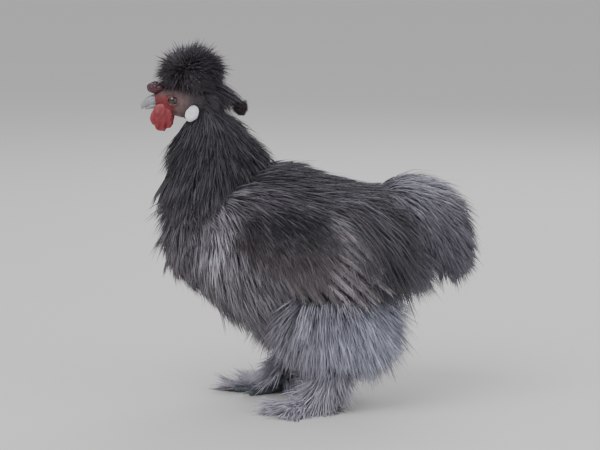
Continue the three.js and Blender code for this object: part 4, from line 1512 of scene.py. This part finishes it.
@dataclass
class Body:
    """The coat of breast, flanks, belly and back, and the long saddle that hangs behind the wings."""

    plumes: int = 2900
    length: float = 35.0
    prow_plumes: int = 260
    prow_length: float = 34.0
    prow_centre: tuple[float, float, float] = (-124.0, 0.0, 187.0)
    prow_core: tuple[float, float, float] = (12.0, 22.0, 24.0)
    saddle_plumes: int = 460
    saddle_length: float = 46.0
    rump_plumes: int = 900
    rump_length: float = 40.0

    @staticmethod
    def lie(roots: Roots) -> Array:
        """Down and back on breast and flanks, and rearwards along the back, as the outward side turns up.

        Args:
            roots: where the plumes stand.

        Returns:
            One direction for each root.
        """
        top = np.maximum(roots.out[:, 2], 0.0)
        rear = ease(roots.point[:, 0], -125.0, 10.0)
        low = 1.0 - ease(roots.point[:, 2], 110.0, 175.0)
        back = 0.24 + 0.6 * rear + 0.5 * low + 1.6 * top**2
        return np.stack([back, np.zeros_like(top), -1.0 + 0.95 * top**2], axis=1)

    def coat(self) -> tuple[Barbs, Barbs]:
        """The plumes before and behind the middle of the body.

        Returns:
            The barbs before the middle and those behind it.
        """
        roots = TORSO.roots(self.plumes, seed=81, span=(0.0, 0.97), grow=-SKIN_DEPTH, window=(0.04, 0.95))
        front = roots.point[:, 0] < -100.0
        hidden = NECK.holds(roots.point, -16.0) | (NECK.holds(roots.point, -6.0) & ~front)
        hidden |= TAIL.holds(roots.point, -6.0)
        for side in Side:
            same = roots.point[:, 1] * side.value > 0
            hidden |= thigh_loft(side).holds(roots.point, -16.0)
            hidden |= same & (np.abs(roots.out[:, 1]) > 0.6) & wing_loft(side).holds(roots.point, -15.0, True)
        roots = roots.only(~hidden)
        low = 1.0 - ease(roots.point[:, 2], 90.0, 150.0)
        chest = 1.0 - ease(roots.point[:, 0], -130.0, -85.0)
        shoulder = ease(roots.out[:, 2], 0.25, 0.6) * (1.0 - ease(roots.out[:, 2], 0.8, 0.95))
        length = self.length + 8.0 * low - 7.0 * chest + 10.0 * shoulder
        rise = 1.0 - 0.58 * chest - 0.2 * low
        rise = rise - 0.25 * ease(roots.out[:, 2], 0.3, 0.7) * (1.0 - chest)
        fore = roots.point[:, 0] + 0.35 * (roots.point[:, 2] - 160) < -30
        halves = []
        for half, seed in ((fore, 82), (~fore, 83)):
            some, lie = roots.only(half), self.lie(roots.only(half))
            halves.append(BODY_PLUME.grow(some, lie, length[half], BODY_COAT, seed, rise[half]))
        return halves[0], halves[1]

    def prow(self) -> Barbs:
        """The plumes on the blunt front of the breast, under the cape.

        Returns:
            The barbs.
        """
        blunt = Loft.globe(self.prow_centre, self.prow_core)
        roots = blunt.roots(self.prow_plumes, seed=88, window=(0.97, 1.0))
        roots = roots.only((roots.out[:, 0] < -0.35) & (roots.out[:, 2] < 0.8))
        lie = roots.same([0.12, 0.0, -1.0]) + 0.3 * roots.out * ACROSS
        return PROW_PLUME.grow(roots, lie, self.prow_length, BODY_COAT, seed=89)

    def saddle(self) -> Barbs:
        """Long plumes that fall from the rump over the thigh, and those under the tail.

        Returns:
            The barbs.
        """
        count = 3 * self.saddle_plumes
        roots = TORSO.roots(count, seed=84, span=(0.7, 1.0), grow=-SKIN_DEPTH, window=(-1.0, 0.6))
        roots = roots.only((roots.out[:, 2] > -0.15) & (roots.point[:, 2] > 168))
        roots = roots.first(self.saddle_plumes)
        y = roots.point[:, 1]
        lie = np.stack([np.full_like(y, 0.5), 0.004 * y, -np.ones_like(y)], axis=1)
        length = self.saddle_length + 26.0 * ease(np.abs(roots.out[:, 1]), 0.1, 0.8)
        hanging = SADDLE_PLUME.grow(roots, lie, length, BODY_COAT, seed=85)
        count = self.rump_plumes
        roots = TORSO.roots(count, seed=86, span=(0.88, 1.0), grow=-SKIN_DEPTH, window=(-1.6, 0.96))
        roots = roots.only((roots.point[:, 2] < 190) & (roots.out[:, 2] < 0.2))
        lie = roots.same([0.95, 0.0, -0.75])
        length = self.rump_length + 12.0 * ease(roots.point[:, 2], 140.0, 175.0)
        return Barbs.joined([hanging, RUMP_PLUME.grow(roots, lie, length, BODY_COAT, seed=87)])

    def build(self) -> None:
        """Makes the three pieces of the coat."""
        front, back = self.coat()
        piece("breast_plumes", [Barbs.joined([front, self.prow()]).shell()], SILKY, "body")
        piece("back_plumes", [back.shell()], SILKY, "body")
        piece("saddle_plumes", [self.saddle().shell()], SILKY, "body")


@dataclass
class TailMop:
    """The soft tail: curved plumes that spring back and fall like a fountain."""

    plumes: int = 1080
    length: float = 28.0

    def build(self) -> None:
        """Makes the tail's plumes, longest over its crown."""
        roots = TAIL.roots(self.plumes, seed=91, span=(0.08, 1.0), grow=-SKIN_DEPTH)
        roots = roots.only(~TORSO.holds(roots.point, -10.0))
        crown = np.maximum(roots.out[:, 2], 0.0)
        lie = np.stack([0.75 + 0.3 * crown, np.zeros_like(crown), -0.62 + 0.3 * crown], axis=1)
        length = self.length + 6.0 * crown
        barbs = TAIL_PLUME.grow(roots, lie, length, BODY_COAT, seed=92)
        piece("tail_plumes", [barbs.shell()], SILKY, "tail")


@dataclass(frozen=True)
class Fan:
    """A row of flight feathers, set by its first and last feather seen from the side.

    Attributes:
        count: how many feathers.
        roots: (x, z) of the first root and of the last.
        tips: (x, z) of the first tip and of the last.
        out: how far out the first one lies.
        half_width: of a feather's vane.
        shade: scales the wing's colours.
    """

    count: int
    roots: tuple[tuple[float, float], tuple[float, float]]
    tips: tuple[tuple[float, float], tuple[float, float]]
    out: float
    half_width: float
    shade: float


@dataclass
class Wing:
    """One folded wing: soft coverts over rows of frayed flight feathers.

    Attributes:
        side: left or right.
        coverts: how many there are.
        covert_length: of the shortest.
        covert_depth: how far under the form they root.
        covered: the share of the form's length that they cover.
        overlap: how much further out each flight feather lies than the one before it.
        tuck: how far inwards their roots are drawn.
        tuck_slope: how much further for each millimetre of height over tuck_height.
        tuck_height: the height that this starts from.
        tip_inset: how far inwards their tips are drawn.
        fans: the rows of flight feathers, from the inside out.
    """

    side: Side
    coverts: int = 560
    covert_length: float = 21.0
    covert_depth: float = 4.0
    covered: float = 0.62
    overlap: float = 0.45
    tuck: float = 5.0
    tuck_slope: float = 0.5
    tuck_height: float = 168.0
    tip_inset: float = 7.0
    fans: tuple[Fan, ...] = (
        Fan(7, ((-44, 162), (-4, 160)), ((-22, 132), (28, 108)), 87.0, 6.0, 0.85),
        Fan(7, ((-6, 148), (12, 170)), ((34, 104), (72, 120)), 88.5, 4.2, 1.25),
        Fan(5, ((6, 182), (24, 190)), ((56, 130), (62, 150)), 91.0, 4.2, 1.05),
    )

    def flights(self, fan: Fan, row: int) -> Barbs:
        """The feathers of one fan. Each lies a little further out than the one before it.

        Args:
            fan: the row of feathers.
            row: its number, from the inside out.

        Returns:
            The shafts and barbs.
        """
        s, share = self.side.value, np.linspace(0.0, 1.0, fan.count)[:, None]
        root, tip = (np.array(a[0]) * (1 - share) + np.array(a[1]) * share for a in (fan.roots, fan.tips))
        y = s * (fan.out + self.overlap * np.arange(fan.count))
        tuck = s * (self.tuck + self.tuck_slope * np.maximum(root[:, 1] - self.tuck_height, 0.0))
        feet = np.stack([root[:, 0], y - tuck, root[:, 1]], axis=1)
        ends = np.stack([tip[:, 0], y - self.tip_inset * s, tip[:, 1]], axis=1)
        face = np.tile([0.05, s, 0.12], (fan.count, 1))
        spot = np.stack([0.06 + 0.1 * np.arange(fan.count), np.full(fan.count, 0.7 + 0.1 * row)], axis=1)
        tone = fan.shade * WING_COAT(ends)
        return Vane(fan.half_width).grow(feet, ends, unit(face), tone, spot, seed=103 + row)

    def build(self) -> None:
        """Makes the wing."""
        form, s = wing_loft(self.side), self.side.value
        kept = form.roots(3 * self.coverts, seed=101, span=(0.0, self.covered), grow=-self.covert_depth)
        kept = kept.only(kept.out[:, 1] * s > 0.2)
        kept = kept.first(self.coverts)
        lie = kept.same([0.52, 0.0, -0.85])
        length = self.covert_length + 9.0 * ease(kept.out[:, 2], -0.6, 0.3)
        length = length + 6.0 * ease(kept.along, 0.35, 0.6)
        rise = 1.0 - 0.5 * ease(kept.out[:, 2], 0.2, 0.8)
        coverts = COVERT.grow(kept, lie, length, WING_COAT, seed=102, rise=rise)
        rows = [self.flights(fan, row) for row, fan in enumerate(self.fans)]
        name = f"wing_feathers_{self.side.word}"
        piece(name, [Barbs.joined([coverts, *rows]).shell()], SILKY, "wing")


@dataclass
class Leg:
    """One leg: fluff round the thigh, a scaled shank, five toes with claws, and feathers down to the toes."""

    side: Side
    fluff: int = 900
    fluff_length: float = 36.0
    boot_plumes: int = 260
    boot_length: float = 30.0
    toe_plumes: tuple[tuple[int, int], ...] = ((1, 120), (0, 90))  # a toe's number and how many it has
    toe_plume_length: float = 28.0
    slate: Coat = Coat((78, 84, 92))
    claw_horn: Coat = Coat((120, 116, 112))
    toe_radius: float = 3.6
    raised_start: float = 12.0  # the height at which the raised toe leaves the foot
    toes: tuple[tuple[float, float, float, float], ...] = (
        (0.04, 40.0, 9.0, 0.0),
        (0.62, 33.0, 8.0, 0.0),
        (-0.58, 29.0, 8.0, 0.0),
        (2.75, 17.0, 8.0, 0.0),
        (3.75, 17.0, 10.0, 9.0),
    )  # for each toe its turn off straight ahead, its length, its claw's length and its rise

    @property
    def y(self) -> float:
        """The leg's place across the bird."""
        return self.side.value * LEG_SPREAD

    def shank(self) -> Loft:
        """The form of the shank.

        Returns:
            The form.
        """
        hock, pad = STANCES[self.side].hock, STANCES[self.side].pad
        return Loft(
            [
                (hock + 0.5, self.y, SHANK_TOP + 6, 7.4, 7.0),
                (hock - 0.5, self.y, 43, 6.6, 5.8),
                ((hock + pad) / 2, self.y, 28, 5.8, 5.2),
                (pad + 1, self.y, 13, 6.6, 6.2),
                (pad + 1, self.y, 5, 6.8, 6.4),
            ]
        )

    def toe(self, turn: float, length: float, rise: float) -> Loft:
        """The form of a toe, with a swelling under each joint.

        Args:
            turn: its turn off straight ahead, in radians.
            length: its length, in millimetres.
            rise: how high its end lies, or 0 for flat.

        Returns:
            The form.
        """
        pad = STANCES[self.side].pad
        way = np.array([-math.cos(turn), self.side.value * math.sin(turn)])
        low = self.raised_start if rise else self.toe_radius
        r = self.toe_radius

        def at(share: float, lift: float, half: float) -> tuple[float, ...]:
            """A station at a share of the toe's length."""
            x, y = np.array([pad, self.y]) + way * (2.0 + share * length)
            return (x, y, low - 0.3 + lift, half, half)

        return Loft(
            [
                at(0.0, 0.0 if rise else 1.4, 4.2),
                at(0.25, 0.1 * rise, 0.92 * r),
                at(0.42, 0.25 * rise, 0.84 * r),
                at(0.6, 0.5 * rise, 0.98 * r),
                at(0.78, 0.8 * rise, 0.78 * r),
                at(0.92, rise, 0.88 * r),
                at(1.0, 1.1 * rise, 0.55 * r),
            ]
        )

    def claw(self, form: Loft, length: float) -> Loft:
        """A curved claw that leaves the end of a toe.

        Args:
            form: the toe.
            length: its length, in millimetres.

        Returns:
            The form.
        """
        s = form.section(np.array([0.93]))
        way = unit(s.ahead[0] * [1.0, 1.0, 0.0])
        steps = ((-1.0, 0.0, 1.9), (0.4, 0.7, 1.5), (0.75, 0.2, 0.9), (1.0, -1.3, 0.3))
        middles = [s.centre[0] + way * share * length + [0, 0, lift] for share, lift, _ in steps]
        return Loft([(*middle, half, half) for middle, (_, _, half) in zip(middles, steps)])

    def tone(self, points: Array) -> Array:
        """Dark slate, unevenly mottled."""
        return self.slate.plain(points) * (1.0 + 0.2 * ripple(points, 5.0, 111))[:, None]

    def scales(self, pitch: float, axis: Array) -> Relief:
        """Scutes as a height: a rounded step every pitch along an axis, over fine pebbling.

        Args:
            pitch: from one step to the next, in millimetres.
            axis: the direction of the steps.

        Returns:
            The height as a function of points.
        """

        def relief(points: Array) -> Array:
            """The height at each point."""
            share = (points @ axis / pitch) % 1.0
            return 0.42 * np.sqrt(np.sin(math.pi * share)) - 0.2 + 0.12 * ripple(points, 2.2, 112)

        return relief

    def build_bare(self) -> None:
        """Makes the shank, toes and claws."""
        shells = [self.shank().shell(48, 90, self.tone, relief=self.scales(3.0, -DOWN))]
        claws = []
        for turn, length, claw, rise in self.toes:
            form = self.toe(turn, length, rise)
            way = unit(form.path[-1] - form.path[0])
            shells.append(form.shell(36, 80, self.tone, relief=self.scales(2.4, way)))
            claws.append(self.claw(form, claw).shell(24, 24, self.claw_horn.plain))
        word = self.side.word
        piece(f"leg_{word}", shells, SCALY, "shank", [f"shank_{word}", f"foot_{word}"])
        piece(f"claws_{word}", claws, HORNY, "shank")

    def thigh(self) -> Barbs:
        """Loose fluff all round the thigh, longest behind it.

        Returns:
            The barbs.
        """
        form = thigh_loft(self.side)
        roots = form.roots(self.fluff, seed=121, span=(0.12, 1.0), grow=-SKIN_DEPTH)
        roots = roots.only(~TORSO.holds(roots.point, -14.0))
        hip = STANCES[self.side].hip
        x, y = roots.point[:, 0], roots.point[:, 1]
        lie = np.stack([0.012 * (x - hip) + 0.15, 0.01 * (y - self.y), -np.ones_like(x)], axis=1)
        length = self.fluff_length - 8.0 * ease(roots.along, 0.55, 1.0)
        length = length + 8.0 * ease(x, hip + 10.0, hip + 45.0)
        return THIGH_PLUME.grow(roots, lie, length, BODY_COAT, seed=122)

    def boot(self) -> Barbs:
        """Feathers down the shank that flare over the foot.

        Returns:
            The barbs.
        """
        roots = self.shank().roots(self.boot_plumes, seed=131, span=(0.0, 0.72), window=(0.04, 0.5))
        roots = roots.only(roots.out[:, 1] * self.side.value > -0.8)
        lie = roots.same([-0.12, 0.0, -1.0])
        return BOOT_PLUME.grow(roots, lie, self.boot_length, BODY_COAT, seed=132)

    def toe_feathers(self) -> Barbs:
        """Feathers off the outer sides of the outer and middle toes, laid out over the ground.

        Returns:
            The barbs.
        """
        sets = []
        for number, plumes in self.toe_plumes:
            turn, length, _, rise = self.toes[number]
            form = self.toe(turn, length, rise)
            band = (0.45 + 0.27 * number, 0.69 + 0.27 * number)
            roots = form.roots(3 * plumes, seed=141 + number, span=(0.0, 0.95), window=band)
            roots = roots.only((roots.out[:, 2] > -0.1) & (roots.out[:, 1] * self.side.value > -0.3))
            roots = roots.first(plumes)
            yaw = turn + 0.5
            lie = roots.same([-math.cos(yaw), self.side.value * math.sin(yaw), -0.2])
            length = self.toe_plume_length
            sets.append(TOE_PLUME.grow(roots, lie, length, BODY_COAT, seed=143 + number))
        return Barbs.joined(sets)

    def build(self) -> None:
        """Makes the leg."""
        self.build_bare()
        piece(f"thigh_fluff_{self.side.word}", [self.thigh().shell()], DOWNY, "fluff")
        feathers = Barbs.joined([self.boot(), self.toe_feathers()])
        piece(f"foot_feathers_{self.side.word}", [feathers.shell()], DOWNY, "fluff")


@dataclass
class Studio:
    """The pale floor, the soft light and the camera at the photograph's own angle.

    Attributes:
        elevation: the camera's height above the horizon, in degrees.
        distance: from the bird, in metres.
        scale: pixels for a millimetre at the bird.
        foot: the pixel at which the origin stands.
        frame: the picture's size in pixels.
        sensor: the camera's sensor width, in millimetres.
        heart: the height that the lights aim at, in metres.
        lights: for each its name, place in metres, power in watts and size in metres.
        sky: the colour of the light from all round.
        sky_strength: its strength.
        floor_colour: the floor's colour.
        floor_reach: half the floor's width, in metres.
    """

    elevation: float = 8.0
    distance: float = 2.2
    scale: float = 1.0204
    foot: tuple[float, float] = (311.5, 403.5)
    frame: tuple[int, int] = (600, 450)
    sensor: float = 36.0
    heart: float = 0.17
    lights: tuple[tuple[str, tuple[float, float, float], float, float], ...] = (
        ("key", (-0.9, -1.5, 2.0), 42.0, 1.8),
        ("fill", (1.6, -1.2, 1.0), 12.0, 2.0),
        ("rim", (0.6, 1.8, 1.8), 22.0, 1.6),
    )
    sky: tuple[float, float, float, float] = (0.86, 0.88, 0.92, 1.0)
    sky_strength: float = 0.75
    floor_colour: tuple[float, float, float, float] = (0.7, 0.68, 0.66, 1.0)
    floor_reach: float = 25.0

    def build_camera(self) -> None:
        """Aims the camera at the point in the middle of the frame, so that the origin falls on its pixel."""
        tilt = math.radians(self.elevation)
        across = (self.frame[0] / 2 - self.foot[0]) / self.scale
        rise = (self.foot[1] - self.frame[1] / 2) / (self.scale * math.cos(tilt))
        aim = Vector((across, 0.0, rise)) * METRES
        data = bpy.data.cameras.new("camera")
        data.sensor_width = self.sensor
        data.lens = self.scale / METRES * self.distance / self.frame[0] * self.sensor
        camera = bpy.data.objects.new("camera", data)
        camera.location = aim + Vector((0.0, -math.cos(tilt), math.sin(tilt))) * self.distance
        camera.rotation_euler = (aim - camera.location).to_track_quat("-Z", "Y").to_euler()
        bpy.context.scene.collection.objects.link(camera)
        bpy.context.scene.camera = camera

    def build_light(self) -> None:
        """Sets a broad key light, a weaker one opposite, one behind, and a pale sky."""
        for name, spot, energy, size in self.lights:
            data = bpy.data.lights.new(name, "AREA")
            data.energy, data.size = energy, size
            light = bpy.data.objects.new(name, data)
            light.location = spot
            way = Vector((0.0, 0.0, self.heart)) - Vector(spot)
            light.rotation_euler = way.to_track_quat("-Z", "Y").to_euler()
            bpy.context.scene.collection.objects.link(light)
        world = bpy.data.worlds.new("sky")
        world.use_nodes = True
        sky = world.node_tree.nodes["Background"]
        sky.inputs["Color"].default_value = self.sky
        sky.inputs["Strength"].default_value = self.sky_strength
        bpy.context.scene.world = world

    def build_floor(self) -> None:
        """Lays the floor just under the feet, out past the camera's view."""
        reach = self.floor_reach
        mesh = bpy.data.meshes.new("floor")
        corners = [(-reach, -reach, 0.0), (reach, -reach, 0.0), (reach, reach, 0.0), (-reach, reach, 0.0)]
        mesh.from_pydata(corners, [], [(0, 1, 2, 3)])
        made = NodeMaterial("pale_floor")
        where = made.read(made.node("ShaderNodeTexCoord"), "Object")
        shader = made.node(
            "ShaderNodeBsdfPrincipled",
            None,
            {"Base Color": self.floor_colour, "Roughness": 0.75 + 0.1 * made.noise(where, 40.0)},
        )
        made.node("ShaderNodeOutputMaterial", None, {"Surface": made.read(shader, 0)})
        mesh.materials.append(made.material)
        floor = bpy.data.objects.new("floor", mesh)
        bpy.context.scene.collection.objects.link(floor)

    def build(self) -> None:
        """Makes the studio."""
        self.build_camera()
        self.build_light()
        self.build_floor()


def main() -> None:
    """Builds the studio and then the bird, part by part."""
    logging.basicConfig(level=logging.INFO, format="%(message)s")
    Studio().build()
    Skin().build()
    Head().build()
    Crest().build()
    Hackle().build()
    Body().build()
    TailMop().build()
    for side in Side:
        Wing(side).build()
        Leg(side).build()


if __name__ == "__main__":
    main()
